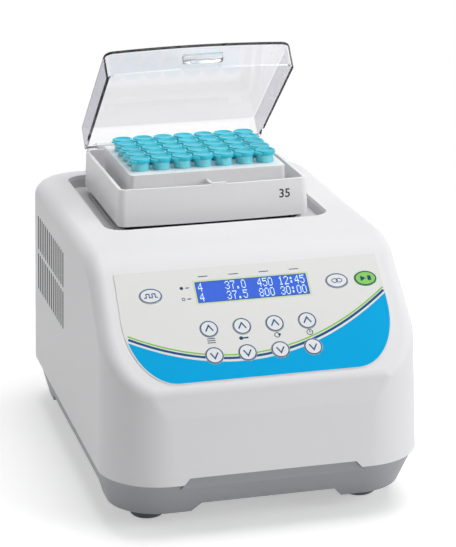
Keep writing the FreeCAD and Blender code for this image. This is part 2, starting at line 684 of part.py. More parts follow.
def cut_notch(depth_from, depth_to, ease):
    """The shallow step in the front seam, wider at its foot."""
    half = NOTCH_WIDTH / 2 - ease
    foot = half + NOTCH_SLOPE * (1 + OVERRUN / NOTCH_RISE)
    low = SEAM_HEIGHT - OVERRUN
    top = SEAM_HEIGHT + NOTCH_RISE - ease
    points = [(-foot, low), (-half, top), (half, top), (foot, low), (-foot, low)]
    face = Part.Face(Part.makePolygon([V(x, depth_from, z) for x, z in points]))
    return face.extrude(V(0, depth_to - depth_from, 0))


def vent_slots():
    """Two rows of upright slots through both side walls."""
    slots = []
    for i in range(VENT_COUNT):
        y = VENT_REAR_Y - i * VENT_PITCH
        upper = VENT_TOP - VENT_UPPER_HEIGHT
        lower_top = upper - VENT_GAP
        for top, bottom in ((VENT_TOP, upper), (lower_top, lower_top - VENT_LOWER_HEIGHT)):
            slots.append(box(-CASE_WIDTH, CASE_WIDTH, y - VENT_WIDTH / 2, y + VENT_WIDTH / 2, bottom, top))
    return slots


def grille_slots():
    """Level slots in front of the fan, as long as its round opening allows."""
    slots = []
    for i in range(GRILLE_COUNT):
        up = (i - (GRILLE_COUNT - 1) / 2) * GRILLE_PITCH
        half = math.sqrt(max((FAN_BORE / 2) ** 2 - (abs(up) + GRILLE_SLOT / 2) ** 2, GRILLE_SLOT ** 2))
        z = FAN_HEIGHT + up
        slots.append(box(
            FAN_X - half, FAN_X + half, FAN_PAD_FACE - OVERRUN, REAR_Y + OVERRUN,
            z - GRILLE_SLOT / 2, z + GRILLE_SLOT / 2))
    return slots


def fan_screw_places():
    """The fan's four fixing holes as X and Z."""
    half = FAN_HOLE_SPACING / 2
    return [(FAN_X + sx * half, FAN_HEIGHT + sz * half) for sx in (-1, 1) for sz in (-1, 1)]


def rod_y(diameter, y0, y1, x, z):
    """A cylinder along Y."""
    return Part.makeCylinder(diameter / 2, y1 - y0, V(x, y0, z), V(0, 1, 0))


def rod_x(diameter, x0, x1, y, z):
    """A cylinder along X."""
    return Part.makeCylinder(diameter / 2, x1 - x0, V(x0, y, z), V(1, 0, 0))


def recess_box(margin, y0):
    """The rear recess, grown by a margin, from a depth to behind the case."""
    half = RECESS_HEIGHT / 2 + margin
    reach = RECESS_WIDTH / 2 + margin
    body = box(RECESS_X - reach, RECESS_X + reach, y0, REAR_Y + OVERRUN, RECESS_LEVEL - half, RECESS_LEVEL + half)
    corners = [edge for edge in body.Edges if edge.BoundBox.YLength > RECESS_IN]
    return body.makeFillet(RECESS_CORNER + margin, corners)


def upper_housing():
    """Upper case: shell, top opening, panel openings, vents, rear opening and inner bosses."""
    shell = case_form(0).cut(case_form(CASE_WALL))
    inner = case_form(CASE_WALL / 2)
    fan_pad = centred_box(FAN_PAD, OVERRUN, FAN_HEIGHT - FAN_PAD / 2, FAN_HEIGHT + FAN_PAD / 2,
                          FAN_X, FAN_PAD_FACE + OVERRUN / 2)
    bosses = []
    for x, y in four(CASE_SCREW_ACROSS, CASE_SCREW_ALONG):
        reach = CASE_WIDTH / 2
        inside = abs(x) - CASE_POST_DIAMETER / 2
        z0 = SEAM_HEIGHT + JOIN_GAP * 2
        span = (inside, reach) if x > 0 else (-reach, -inside)
        bosses.append(box(span[0], span[1], y - CASE_BOSS_LENGTH / 2, y + CASE_BOSS_LENGTH / 2,
                          z0, z0 + CASE_BOSS_HEIGHT))
    posts = [on_panel(post(BOARD_POST_DIAMETER, BOARD_TOP, -CASE_WALL / 2, x, y))
             for x, y in board_post_places()]
    added = [piece.common(inner) for piece in [fan_pad] + bosses]
    shell = shell.fuse(added + posts)
    cuts = [rounded_block(WELL_WIDTH, WELL_LENGTH, WELL_CORNER, WELL_BOTTOM, CASE_TOP + OVERRUN, SHAKE_Y),
            recess_box(0, RECESS_FACE)]
    cuts.append(cut_notch(FRONT_Y - OVERRUN, FRONT_Y + 2 * OVERRUN, 0))
    cuts += vent_slots() + grille_slots()
    for x, z in fan_screw_places():
        cuts.append(rod_y(FAN_SCREW_DIAMETER, FAN_PAD_FACE - OVERRUN, REAR_Y + OVERRUN, x, z))
        cuts.append(rod_y(FAN_SCREW_HEAD + 2 * SCREW_PLAY, FAN_SCREW_SEAT, REAR_Y + OVERRUN, x, z))
    for x, y in four(CASE_SCREW_ACROSS, CASE_SCREW_ALONG):
        cuts.append(post(CASE_SCREW_DIAMETER, SEAM_HEIGHT, FLOOR_UNDER + CASE_SCREW_LENGTH, x, y))
    for x, y in board_post_places():
        hole = post(BOARD_SCREW_DIAMETER, BOARD_TOP - OVERRUN, BOARD_TOP + BOARD_SCREW_LENGTH, x, y)
        cuts.append(on_panel(hole))
    cuts += [on_panel(key_prism(key, KEY_PLAY, -CASE_WALL - OVERRUN / 2, OVERRUN)) for key in key_places()]
    cuts.append(on_panel(window_box(KEY_PLAY, WINDOW_Z, OVERRUN)))
    cuts.append(on_panel(window_box(-WINDOW_LEDGE, -CASE_WALL - OVERRUN / 2, OVERRUN)))
    return shell.cut(cuts).removeSplitter()


def well_pan():
    """Spill pan hung under the top opening, with a raised lip round the neck's hole."""
    pan = rounded_block(
        WELL_WIDTH + 2 * CASE_WALL, WELL_LENGTH + 2 * CASE_WALL, WELL_CORNER + CASE_WALL,
        WELL_BOTTOM - WELL_FLOOR, CASE_TOP - CASE_WALL, SHAKE_Y)
    pan = pan.cut(rounded_block(WELL_WIDTH, WELL_LENGTH, WELL_CORNER, WELL_BOTTOM, CASE_TOP, SHAKE_Y))
    play = 2 * (ORBIT_RADIUS + NECK_PLAY)
    neck = rounded_block(FRAME_WIDTH + play, FRAME_LENGTH + play, BLOCK_CORNER + play,
                         WELL_BOTTOM - WELL_FLOOR, CASE_TOP, SHAKE_Y)
    lip = rounded_block(
        FRAME_WIDTH + play + 2 * SPILL_LIP, FRAME_LENGTH + play + 2 * SPILL_LIP,
        BLOCK_CORNER + play + SPILL_LIP, WELL_BOTTOM, WELL_BOTTOM + SPILL_LIP, SHAKE_Y)
    return pan.fuse(lip).cut(neck).removeSplitter()


def rear_bay():
    """Box behind the rear opening that carries the inlet and the switch."""
    body = recess_box(RECESS_WALL, RECESS_FACE - RECESS_WALL).common(case_form(CASE_WALL))
    cuts = [recess_box(0, RECESS_FACE)]
    openings = ((INLET_WIDTH, INLET_HEIGHT, INLET_X), (ROCKER_CUT_WIDTH, ROCKER_CUT_HEIGHT, SWITCH_X))
    for width, height, x in openings:
        cuts.append(centred_box(width, 2 * OVERRUN, RECESS_LEVEL - height / 2, RECESS_LEVEL + height / 2,
                                x, RECESS_FACE))
    return body.cut(cuts).removeSplitter()


def base_sections(inset):
    """Widths and lengths of the base at its crease and seam, drawn in by an inset."""
    width = CASE_WIDTH - 2 * (BASE_STEP + inset)
    length = CASE_DEPTH - 2 * (BASE_STEP + inset)
    radius = CASE_CORNER - BASE_STEP - inset
    crease = (width - 2 * BASE_CREASE_IN, length - 2 * BASE_CREASE_IN_ENDS, radius - BASE_CREASE_IN, BASE_CREASE)
    return crease, (width, length, radius, SEAM_HEIGHT)


def arch_cut(half_width, along, z0, rise):
    """A low channel with sloped sides, along X or Y."""
    low = half_width + BASE_ARCH_SLOPE
    reach = CASE_DEPTH
    rows = [(-low, z0), (-half_width, z0 + rise), (half_width, z0 + rise), (low, z0)]
    rows = [(-low, z0 - OVERRUN)] + rows + [(low, z0 - OVERRUN), (-low, z0 - OVERRUN)]
    if along == "y":
        face = Part.Face(Part.makePolygon([V(a, -reach, z) for a, z in rows]))
        return face.extrude(V(0, 2 * reach, 0))
    face = Part.Face(Part.makePolygon([V(-reach, a, z) for a, z in rows]))
    return face.extrude(V(2 * reach, 0, 0))


def base_tray():
    """Grey base: tapered walls, four corner pads, posts and floor slots."""
    crease, seam = base_sections(0)
    bottom = (
        CASE_WIDTH - 2 * BASE_BOTTOM_IN, CASE_DEPTH - 2 * BASE_BOTTOM_IN_ENDS,
        crease[2] - BASE_CREASE_IN, BASE_BOTTOM)
    body = tapered([bottom, crease, seam])
    inner_crease, inner_seam = base_sections(BASE_WALL)
    share = (FLOOR_TOP - BASE_BOTTOM) / (BASE_CREASE - BASE_BOTTOM)
    floor = (
        bottom[0] + (crease[0] - bottom[0]) * share - 2 * BASE_WALL,
        bottom[1] + (crease[1] - bottom[1]) * share - 2 * BASE_WALL,
        inner_crease[2] - BASE_CREASE_IN / 2, FLOOR_TOP)
    above = (inner_seam[0], inner_seam[1], inner_seam[2], SEAM_HEIGHT + OVERRUN)
    body = body.cut(tapered([floor, inner_crease, inner_seam, above]))
    body = body.cut([
        arch_cut(BASE_ARCH_WIDTH / 2, "y", BASE_BOTTOM, BASE_ARCH_RISE),
        arch_cut(BASE_ARCH_LENGTH / 2, "x", BASE_BOTTOM, BASE_ARCH_RISE)])
    tab = cut_notch(FRONT_Y + BASE_STEP, FRONT_Y + BASE_STEP + BASE_WALL, JOIN_GAP)
    body = body.fuse(tab.common(centred_box(CASE_WIDTH, 2 * CASE_DEPTH, SEAM_HEIGHT - BASE_WALL,
                                            CASE_TOP)))
    posts = [post(CASE_POST_DIAMETER, FLOOR_UNDER, SEAM_HEIGHT + JOIN_GAP, x, y)
             for x, y in four(CASE_SCREW_ACROSS, CASE_SCREW_ALONG)]
    posts += [post(CHASSIS_BOSS_DIAMETER, FLOOR_UNDER, FLOOR_TOP + CHASSIS_LIFT, x, y)
              for x, y in four(FOOT_ACROSS, FOOT_ALONG)]
    body = body.fuse(posts)
    cuts = []
    for x, y in four(CASE_SCREW_ACROSS, CASE_SCREW_ALONG):
        cuts.append(post(CASE_SCREW_DIAMETER + 2 * SCREW_PLAY, BASE_BOTTOM, CASE_TOP, x, y))
        cuts.append(post(CASE_SCREW_HEAD + 2 * SCREW_PLAY, BASE_BOTTOM,
                         FLOOR_UNDER + CASE_SCREW_HEAD_HEIGHT, x, y))
    for x, y in four(FOOT_ACROSS, FOOT_ALONG):
        cuts.append(post(SMALL_SCREW_DIAMETER, CHASSIS_TOP - SMALL_SCREW_LENGTH, CASE_TOP, x, y))
    for i in range(FLOOR_SLOT_COUNT):
        x = (i - (FLOOR_SLOT_COUNT - 1) / 2) * FLOOR_SLOT_PITCH
        cuts.append(centred_box(FLOOR_SLOT_WIDTH, FLOOR_SLOT_LENGTH, BASE_BOTTOM, FLOOR_TOP + OVERRUN,
                                x, SHAKE_Y))
    return body.cut(cuts).removeSplitter()


def rubber_feet():
    """Four round feet with a softened sole."""
    foot = post(FOOT_DIAMETER, 0, FOOT_HEIGHT)
    sole = [edge for edge in foot.Edges if edge.BoundBox.ZMax < FOOT_HEIGHT / 2]
    foot = foot.makeFillet(FOOT_ROUND, sole)
    return Part.makeCompound([move(foot, x, y, 0) for x, y in four(FOOT_ACROSS, FOOT_ALONG)])


def screw(diameter, length, head, head_height):
    """A round-head screw hanging from the origin, head above."""
    body = post(head, 0, head_height).fuse(post(diameter, -length, head_height / 2))
    slot = centred_box(head, diameter / 4, head_height * SCREW_SLOT_SHARE, head_height * 2)
    return body.cut(slot)


def case_screws():
    """Four screws from below through the base into the case."""
    length = CASE_SCREW_LENGTH - CASE_SCREW_HEAD_HEIGHT
    item = screw(CASE_SCREW_DIAMETER, length, CASE_SCREW_HEAD, CASE_SCREW_HEAD_HEIGHT)
    item.rotate(V(0, 0, 0), V(1, 0, 0), 180)
    z = FLOOR_UNDER + CASE_SCREW_HEAD_HEIGHT
    return Part.makeCompound([move(item, x, y, z) for x, y in four(CASE_SCREW_ACROSS, CASE_SCREW_ALONG)])


def chassis_plate():
    """Steel plate that carries the drive and the electronics."""
    plate = rounded_block(CHASSIS_WIDTH, CHASSIS_LENGTH, CHASSIS_CORNER,
                          CHASSIS_TOP - CHASSIS_THICKNESS, CHASSIS_TOP)
    low = CHASSIS_TOP - 2 * OVERRUN
    holes = [post(SMALL_SCREW_DIAMETER + 2 * SCREW_PLAY, low, CASE_TOP, x, y)
             for x, y in four(FOOT_ACROSS, FOOT_ALONG)]
    air = rounded_block(MOTOR_DIAMETER + 2 * MOTOR_AIR, FLOOR_SLOT_LENGTH, CHASSIS_CORNER / 2,
                        low, CASE_TOP, SHAKE_Y)
    return plate.cut(holes + [air])


def chassis_screws():
    """Four screws that hold the plate to the base's corner bosses."""
    item = screw(SMALL_SCREW_DIAMETER, SMALL_SCREW_LENGTH, SMALL_SCREW_HEAD, SMALL_SCREW_HEAD_HEIGHT)
    return Part.makeCompound([move(item, x, y, CHASSIS_TOP) for x, y in four(FOOT_ACROSS, FOOT_ALONG)])


def deck_pillars():
    """Four pillars between the chassis and the deck."""
    return Part.makeCompound([post(PILLAR_DIAMETER, CHASSIS_TOP, DECK_BOTTOM, x, y)
                              for x, y in four(PILLAR_ACROSS, PILLAR_ALONG, SHAKE_Y)])


def drive_plate(z0, shaft_x):
    """A flat plate with one centre bore and four corner bores for bearings."""
    plate = rounded_block(DRIVE_WIDTH, DRIVE_LENGTH, PLATE_CORNER, z0, z0 + PLATE_THICKNESS, SHAKE_Y)
    plate.translate(V(shaft_x, 0, 0))
    holes = [post(SHAFT_BEARING_DIAMETER, z0, z0 + PLATE_THICKNESS, shaft_x, SHAKE_Y)]
    holes += [post(IDLER_BEARING_DIAMETER, z0, z0 + PLATE_THICKNESS, x + shaft_x, y)
              for x, y in four(IDLER_ACROSS, IDLER_ALONG, SHAKE_Y)]
    return plate.cut(holes)


def bearing(outer, inner, z0, z1, x, y):
    """A plain bearing ring with running play on its shaft."""
    return post(outer, z0, z1, x, y).cut(post(inner + 2 * RUNNING_PLAY, z0, z1, x, y))


def bearings(z0, shaft_x):
    """The centre bearing and four corner bearings of one plate."""
    rings = [bearing(SHAFT_BEARING_DIAMETER, SHAFT_DIAMETER, z0, z0 + PLATE_THICKNESS, shaft_x, SHAKE_Y)]
    rings += [bearing(IDLER_BEARING_DIAMETER, IDLER_DIAMETER, z0, z0 + PLATE_THICKNESS, x + shaft_x, y)
              for x, y in four(IDLER_ACROSS, IDLER_ALONG, SHAKE_Y)]
    return Part.makeCompound(rings)


def deck():
    """Fixed bearing deck with clearance holes for its pillar screws."""
    holes = [post(SMALL_SCREW_DIAMETER + 2 * SCREW_PLAY, DECK_BOTTOM, DECK_TOP, x, y)
             for x, y in four(PILLAR_ACROSS, PILLAR_ALONG, SHAKE_Y)]
    return drive_plate(DECK_BOTTOM, 0).cut(holes)


def drill(shape, z0, z1, places):
    """Cut screw holes into a shape."""
    return shape.cut([post(SMALL_SCREW_DIAMETER, z0, z1, x, y) for x, y in places])


def deck_screws():
    """Four screws through the deck into the pillars."""
    length = PLATE_THICKNESS + SMALL_SCREW_LENGTH
    item = screw(SMALL_SCREW_DIAMETER, length, SMALL_SCREW_HEAD, SMALL_SCREW_HEAD_HEIGHT)
    return Part.makeCompound([
        move(item, x, y, DECK_TOP) for x, y in four(PILLAR_ACROSS, PILLAR_ALONG, SHAKE_Y)])


def shaker_motor():
    """Motor can hung under the deck, with a socket for the shaft."""
    top = DECK_BOTTOM - MOTOR_BOSS_HEIGHT
    can = post(MOTOR_DIAMETER, top - MOTOR_LENGTH, top, 0, SHAKE_Y)
    can = can.makeFillet(MOTOR_BOSS_HEIGHT / 2, [e for e in can.Edges if e.BoundBox.ZLength < RUNNING_PLAY])
    can = can.fuse(post(MOTOR_BOSS_DIAMETER, DECK_BOTTOM - 2 * MOTOR_BOSS_HEIGHT, DECK_BOTTOM, 0, SHAKE_Y))
    return can.cut(post(SHAFT_DIAMETER + 2 * RUNNING_PLAY, DECK_BOTTOM - MOTOR_SOCKET, DECK_BOTTOM, 0, SHAKE_Y))


def crank(diameter, web, x, y, foot):
    """Journal below, web between the plates, and a pin offset by the orbit radius."""
    web_low = DECK_TOP + WEB_GAP
    web_high = PLATFORM_BOTTOM - WEB_GAP
    body = post(diameter, foot, web_low, x, y)
    body = body.fuse([
        post(web, web_low, web_high, x, y),
        post(diameter, web_high, PLATFORM_TOP - WEB_GAP / 2, x + ORBIT_RADIUS, y)])
    return body.removeSplitter()


def eccentric_shaft():
    """Driven crank at the centre of the deck."""
    foot = DECK_BOTTOM - MOTOR_SOCKET + WEB_GAP / 2
    return crank(SHAFT_DIAMETER, COUNTERWEIGHT_CORE, 0, SHAKE_Y, foot)


def counterweight():
    """Half disc clamped on the shaft, opposite the eccentric pin."""
    middle = (DECK_TOP + PLATFORM_BOTTOM) / 2
    low = middle - COUNTERWEIGHT_HEIGHT / 2
    high = middle + COUNTERWEIGHT_HEIGHT / 2
    disc = post(2 * COUNTERWEIGHT_RADIUS, low, high, 0, SHAKE_Y)
    reach = COUNTERWEIGHT_RADIUS + OVERRUN
    flat = COUNTERWEIGHT_CORE / 2 + COUNTERWEIGHT_RIM
    disc = disc.cut(box(flat, reach, SHAKE_Y - reach, SHAKE_Y + reach, low, high))
    return disc.cut(post(COUNTERWEIGHT_CORE, low, high, 0, SHAKE_Y))


def orbit_platform():
    """Moving platform, guided in a circle by five crank pins."""
    return drive_plate(PLATFORM_BOTTOM, ORBIT_RADIUS)


def heat_sink():
    """Finned sink that stands on the platform."""
    base = centred_box(SINK_WIDTH, SINK_LENGTH, SINK_TOP - SINK_BASE, SINK_TOP, 0, SHAKE_Y)
    fins = []
    step = (SINK_WIDTH - SINK_FIN_THICKNESS) / (SINK_FIN_COUNT - 1)
    for i in range(SINK_FIN_COUNT):
        x = -SINK_WIDTH / 2 + SINK_FIN_THICKNESS / 2 + i * step
        fins.append(centred_box(SINK_FIN_THICKNESS, SINK_LENGTH, PLATFORM_TOP, SINK_TOP - SINK_BASE / 2,
                                x, SHAKE_Y))
    return base.fuse(fins).removeSplitter()


def peltier_modules():
    """Two thermoelectric tiles between the sink and the seat."""
    return Part.makeCompound([
        centred_box(PELTIER_SIZE, PELTIER_SIZE, SINK_TOP, SEAT_BOTTOM, side * PELTIER_SPACING / 2, SHAKE_Y)
        for side in (-1, 1)])


def block_seat():
    """Aluminium plate that the tube block stands on."""
    return rounded_block(SEAT_WIDTH, SEAT_LENGTH, BLOCK_CORNER, SEAT_BOTTOM, BLOCK_BOTTOM, SHAKE_Y)


def insulation_frame():
    """Insulating neck round the seat and the block's foot, up to the tray."""
    ring = rounded_block(FRAME_WIDTH, FRAME_LENGTH, BLOCK_CORNER + FRAME_WALL, SINK_TOP, TRAY_BOTTOM, SHAKE_Y)
    ring = ring.cut(rounded_block(FRAME_INNER_WIDTH, FRAME_INNER_LENGTH, BLOCK_CORNER,
                                  SINK_TOP, TRAY_BOTTOM, SHAKE_Y))
    return ring.cut([post(TRAY_SCREW_DIAMETER, TRAY_BOTTOM - TRAY_SCREW_LENGTH, TRAY_BOTTOM, x, y)
                     for x, y in tray_screw_places()])


def tray_screw_places():
    """Four places in the frame's side walls."""
    across = FRAME_INNER_WIDTH + FRAME_WALL
    along = BLOCK_LENGTH * TRAY_SCREW_SHARE
    return four(across, along, SHAKE_Y)


def block_tray():
    """Open tray round the tube block, with hinge barrels and a lid catch."""
    top_width = TRAY_WIDTH - 2 * TRAY_DRAFT
    top_length = TRAY_LENGTH - 2 * TRAY_DRAFT
    body = tapered([
        (TRAY_WIDTH, TRAY_LENGTH, TRAY_CORNER, TRAY_BOTTOM),
        (top_width, top_length, TRAY_CORNER, TRAY_TOP)], SHAKE_Y, TRAY_BOW)
    corner = TRAY_CORNER - TRAY_WALL
    hollow = tapered([
        (TRAY_WIDTH - 2 * TRAY_WALL, TRAY_LENGTH - 2 * TRAY_WALL, corner, TRAY_BOTTOM + TRAY_FLOOR),
        (top_width - 2 * TRAY_WALL, top_length - 2 * TRAY_WALL, corner, TRAY_TOP)],
        SHAKE_Y, TRAY_BOW)
    body = body.cut(hollow)
    for side in (-1, 1):
        x0 = side * HINGE_CENTRE - HINGE_TRAY_WIDTH / 2
        x1 = side * HINGE_CENTRE + HINGE_TRAY_WIDTH / 2
        body = body.fuse([
            rod_x(HINGE_BARREL_DIAMETER, x0, x1, HINGE_Y, HINGE_Z),
            box(x0, x1, TRAY_REAR - TRAY_WALL / 2, HINGE_Y + TRAY_DRAFT, HINGE_Z - HINGE_WEB_DROP, HINGE_Z)])
    front = TRAY_FRONT - TRAY_BOW
    x0 = CATCH_OFFSET - CATCH_WIDTH / 2
    x1 = CATCH_OFFSET + CATCH_WIDTH / 2
    ledge = box(x0, x1, front - CATCH_LIP, front + TRAY_WALL + CATCH_LIP,
                TRAY_TOP - TRAY_WALL, TRAY_TOP + CATCH_RAISE)
    rib = box(x0, x0 + CATCH_RIB, front + TRAY_WALL / 2, SHAKE_Y - BLOCK_LENGTH / 2 - CATCH_GAP,
              TRAY_TOP - CATCH_DROP, TRAY_TOP)
    body = body.fuse([ledge, rib])
    cuts = [rod_x(HINGE_PIN_DIAMETER, -TRAY_WIDTH, TRAY_WIDTH, HINGE_Y, HINGE_Z),
            rounded_block(BLOCK_WIDTH + 2 * BLOCK_PLAY, BLOCK_LENGTH + 2 * BLOCK_PLAY, BLOCK_CORNER,
                          TRAY_BOTTOM - OVERRUN, TRAY_BOTTOM + TRAY_FLOOR + OVERRUN / 2, SHAKE_Y)]
    cuts += [post(TRAY_SCREW_DIAMETER + 2 * SCREW_PLAY, TRAY_BOTTOM, TRAY_TOP, x, y)
             for x, y in tray_screw_places()]
    return body.cut(cuts).removeSplitter()


def tray_screws():
    """Four small screws from the tray's floor into the neck."""
    item = screw(TRAY_SCREW_DIAMETER, TRAY_SCREW_LENGTH, TRAY_SCREW_HEAD, TRAY_SCREW_HEAD_HEIGHT)
    return Part.makeCompound([move(item, x, y, TRAY_BOTTOM + TRAY_FLOOR) for x, y in tray_screw_places()])


def tube_places():
    """Centres of all tubes."""
    places = []
    for row in range(TUBE_ROWS):
        for column in range(TUBE_COLUMNS):
            x = (column - (TUBE_COLUMNS - 1) / 2) * TUBE_PITCH
            y = SHAKE_Y + (row - (TUBE_ROWS - 1) / 2) * TUBE_PITCH
            places.append((x, y))
    return places


def turned(points):
    """A solid of revolution about Z from radius and height pairs."""
    wire = Part.makePolygon([V(r, 0, z) for r, z in points + points[:1]])
    return Part.Face(wire).revolve(V(0, 0, 0), V(0, 0, 1), 360)


def tube_block():
    """Aluminium block with one tapered well per tube."""
    body = rounded_block(BLOCK_WIDTH, BLOCK_LENGTH, BLOCK_CORNER, BLOCK_BOTTOM, BLOCK_TOP, SHAKE_Y)
    play = WELL_HOLE_PLAY
    radius = TUBE_DIAMETER / 2 + play
    tip = TUBE_TIP / 2 + play
    depth = TUBE_STRAIGHT + TUBE_CONE + play
    well = turned([(0, -depth), (tip, -depth), (radius, -TUBE_STRAIGHT), (radius, OVERRUN), (0, OVERRUN)])
    return body.cut([move(well, x, y, BLOCK_TOP) for x, y in tube_places()])


def sample_tubes():
    """Thin tapered tubes that hang by their collars."""
    r = TUBE_DIAMETER / 2
    t = TUBE_WALL
    tip = TUBE_TIP / 2
    length = TUBE_STRAIGHT + TUBE_CONE
    collar = TUBE_COLLAR / 2
    tube = turned([
        (0, -length), (tip, -length), (r, -TUBE_STRAIGHT), (r, 0), (collar, 0),
        (collar, TUBE_COLLAR_HEIGHT), (r - t, TUBE_COLLAR_HEIGHT), (r - t, -TUBE_STRAIGHT),
        (tip - t / 2, t - length), (0, t - length)])
    return Part.makeCompound([move(tube, x, y, BLOCK_TOP) for x, y in tube_places()])


def tube_caps():
    """Round caps with a dished top and a plug."""
    r = CAP_DIAMETER / 2
    z0 = TUBE_COLLAR_HEIGHT
    z1 = z0 + CAP_HEIGHT
    dish = CAP_DISH / 2
    plug = TUBE_DIAMETER / 2 - TUBE_WALL - WELL_HOLE_PLAY
    cap = turned([
        (0, z0 - CAP_SKIRT), (plug, z0 - CAP_SKIRT), (plug, z0), (r - TUBE_WALL, z0), (r, z0 + TUBE_WALL),
        (r, z1 - TUBE_WALL), (r - TUBE_WALL, z1), (dish, z1), (dish, z1 - CAP_DISH_DEPTH),
        (0, z1 - CAP_DISH_DEPTH)])
    return Part.makeCompound([move(cap, x, y, BLOCK_TOP) for x, y in tube_places()])


def opened(shape):
    """Turn a lid piece from closed to its rest place."""
    swung = shape.copy()
    swung.rotate(V(0, HINGE_Y, HINGE_Z), V(-1, 0, 0), LID_OPEN)
    return swung


def lid_outline_sizes():
    """Length and centre of the closed lid."""
    rear = HINGE_Y + HINGE_WALL_BEHIND
    front = TRAY_FRONT + LID_FRONT_SETBACK
    return rear - front, (rear + front) / 2


def lid_cover():
    """Clear cover with a bowed front, hinge ears and cut-outs for the tray's barrels."""
    length, centre = lid_outline_sizes()
    top = LID_BOTTOM + LID_HEIGHT
    body = bowed_block(LID_WIDTH, length, LID_CORNER, LID_BOTTOM, top, centre, LID_BOW)
    body = body.makeFillet(LID_TOP_ROUND, [e for e in body.Edges if e.BoundBox.ZMin > top - RUNNING_PLAY])
    inner = bowed_block(LID_WIDTH - 2 * LID_WALL, length - 2 * LID_WALL, LID_CORNER - LID_WALL,
                        LID_BOTTOM, top - LID_WALL, centre, LID_BOW)
    body = body.cut(inner)
    ears = []
    cuts = []
    for side in (-1, 1):
        middle = side * HINGE_CENTRE
        half = HINGE_TRAY_WIDTH / 2 + HINGE_SIDE_GAP
        for way in (-1, 1):
            near = middle + way * half
            far = near + way * HINGE_EAR_WIDTH
            low, high = sorted((near, far))
            ears.append(rod_x(HINGE_BARREL_DIAMETER, low, high, HINGE_Y, HINGE_Z))
            ears.append(box(low, high, HINGE_Y, HINGE_Y + HINGE_WALL_BEHIND - LID_WALL / 2,
                            HINGE_Z, HINGE_Z + HINGE_BARREL_DIAMETER / 2))
        room = HINGE_BARREL_DIAMETER / 2 + HINGE_SIDE_GAP
        cuts.append(box(middle - half, middle + half, HINGE_Y - room, HINGE_Y + HINGE_WALL_BEHIND + OVERRUN,
                        HINGE_Z - OVERRUN, HINGE_Z + room))
        reach = half + HINGE_EAR_WIDTH + HINGE_SIDE_GAP
        cuts.append(rod_x(HINGE_PIN_DIAMETER + 2 * HINGE_PLAY, middle - reach, middle + reach, HINGE_Y, HINGE_Z))
    body = body.fuse(ears).cut(cuts).removeSplitter()
    return opened(body)


def lid_latch():
    """Grip strip on the outside of the lid's front wall."""
    length, centre = lid_outline_sizes()
    front = centre - length / 2 - LID_BOW
    z0 = LID_BOTTOM + LATCH_RAISE
    strip = box(-LATCH_WIDTH / 2, LATCH_WIDTH / 2, front - LATCH_REACH, front + LID_WALL / 2,
                z0, z0 + LATCH_HEIGHT)
    strip = strip.makeFillet(LATCH_ROUND, [e for e in strip.Edges if e.BoundBox.YMax < front])
    lid = bowed_block(LID_WIDTH, length, LID_CORNER, LID_BOTTOM - OVERRUN,
                      LID_BOTTOM + LID_HEIGHT + OVERRUN, centre, LID_BOW)
    return opened(strip.cut(lid))


def hinge_pins():
    """Two steel pins through the tray's barrels and the lid's ears."""
    half = HINGE_TRAY_WIDTH / 2 + HINGE_SIDE_GAP + HINGE_EAR_WIDTH
    return Part.makeCompound([
        rod_x(HINGE_PIN_DIAMETER, side * HINGE_CENTRE - half, side * HINGE_CENTRE + half, HINGE_Y, HINGE_Z)
        for side in (-1, 1)])


def overlay_wire():
    """Outline of the printed overlay: straight sides and two oval lower corners."""
    a = OVERLAY_HALF_WIDTH
    rx = OVERLAY_ROUND_ACROSS
    ry = OVERLAY_ROUND_ALONG
    down = -OVERLAY_LENGTH
    knee = down + ry
    k = math.sqrt(0.5)

    def corner(side, start, end):
        centre = V(side * (a - rx), knee, 0)
        points = []
        for i in range(OVERLAY_ROUND_STEPS + 1):
            angle = math.radians(start + (end - start) * i / OVERLAY_ROUND_STEPS)
            points.append(V(centre.x + rx * math.cos(angle), centre.y + ry * math.sin(angle), 0))
        curve = Part.BSplineCurve()
        curve.interpolate(points)
        return curve.toShape()

    top = OVERLAY_HALF_TOP
    return Part.Wire([
        Part.LineSegment(V(top, 0, 0), V(-top, 0, 0)).toShape(),
        Part.LineSegment(V(-top, 0, 0), V(-a, knee, 0)).toShape(),
        corner(-1, 180, 270),
        Part.LineSegment(V(rx - a, down, 0), V(a - rx, down, 0)).toShape(),
        corner(1, 270, 360),
        Part.LineSegment(V(a, knee, 0), V(top, 0, 0)).toShape(),
    ])


def panel_overlay():
    """Thin printed sheet with openings for the window and the keys."""
    sheet = Part.Face(overlay_wire()).extrude(V(0, 0, OVERLAY_THICKNESS))
    holes = [key_prism(key, KEY_PLAY, -OVERRUN, OVERRUN) for key in key_places()]
    holes.append(window_box(0, -OVERRUN, OVERRUN))
    return on_panel(sheet.cut(holes))


def display_window():
    """Clear lens seated on the ledge of the panel's opening."""
    return on_panel(window_box(0, WINDOW_Z, OVERLAY_THICKNESS))


def display_module():
    """Liquid crystal module on the board, just behind the panel."""
    body = centred_box(DISPLAY_WIDTH, DISPLAY_HEIGHT, BOARD_TOP, -CASE_WALL - DISPLAY_GAP,
                       WINDOW_OFFSET, -WINDOW_DOWN)
    return on_panel(body)


def control_board():
    """Circuit board behind the panel, on four posts."""
    board = centred_box(BOARD_WIDTH, BOARD_LENGTH, BOARD_TOP - BOARD_THICKNESS, BOARD_TOP, 0, -BOARD_DOWN)
    board = board.cut([post(BOARD_SCREW_DIAMETER + 2 * SCREW_PLAY, BOARD_TOP - OVERRUN, BOARD_TOP, x, y)
                       for x, y in board_post_places()])
    return on_panel(board)


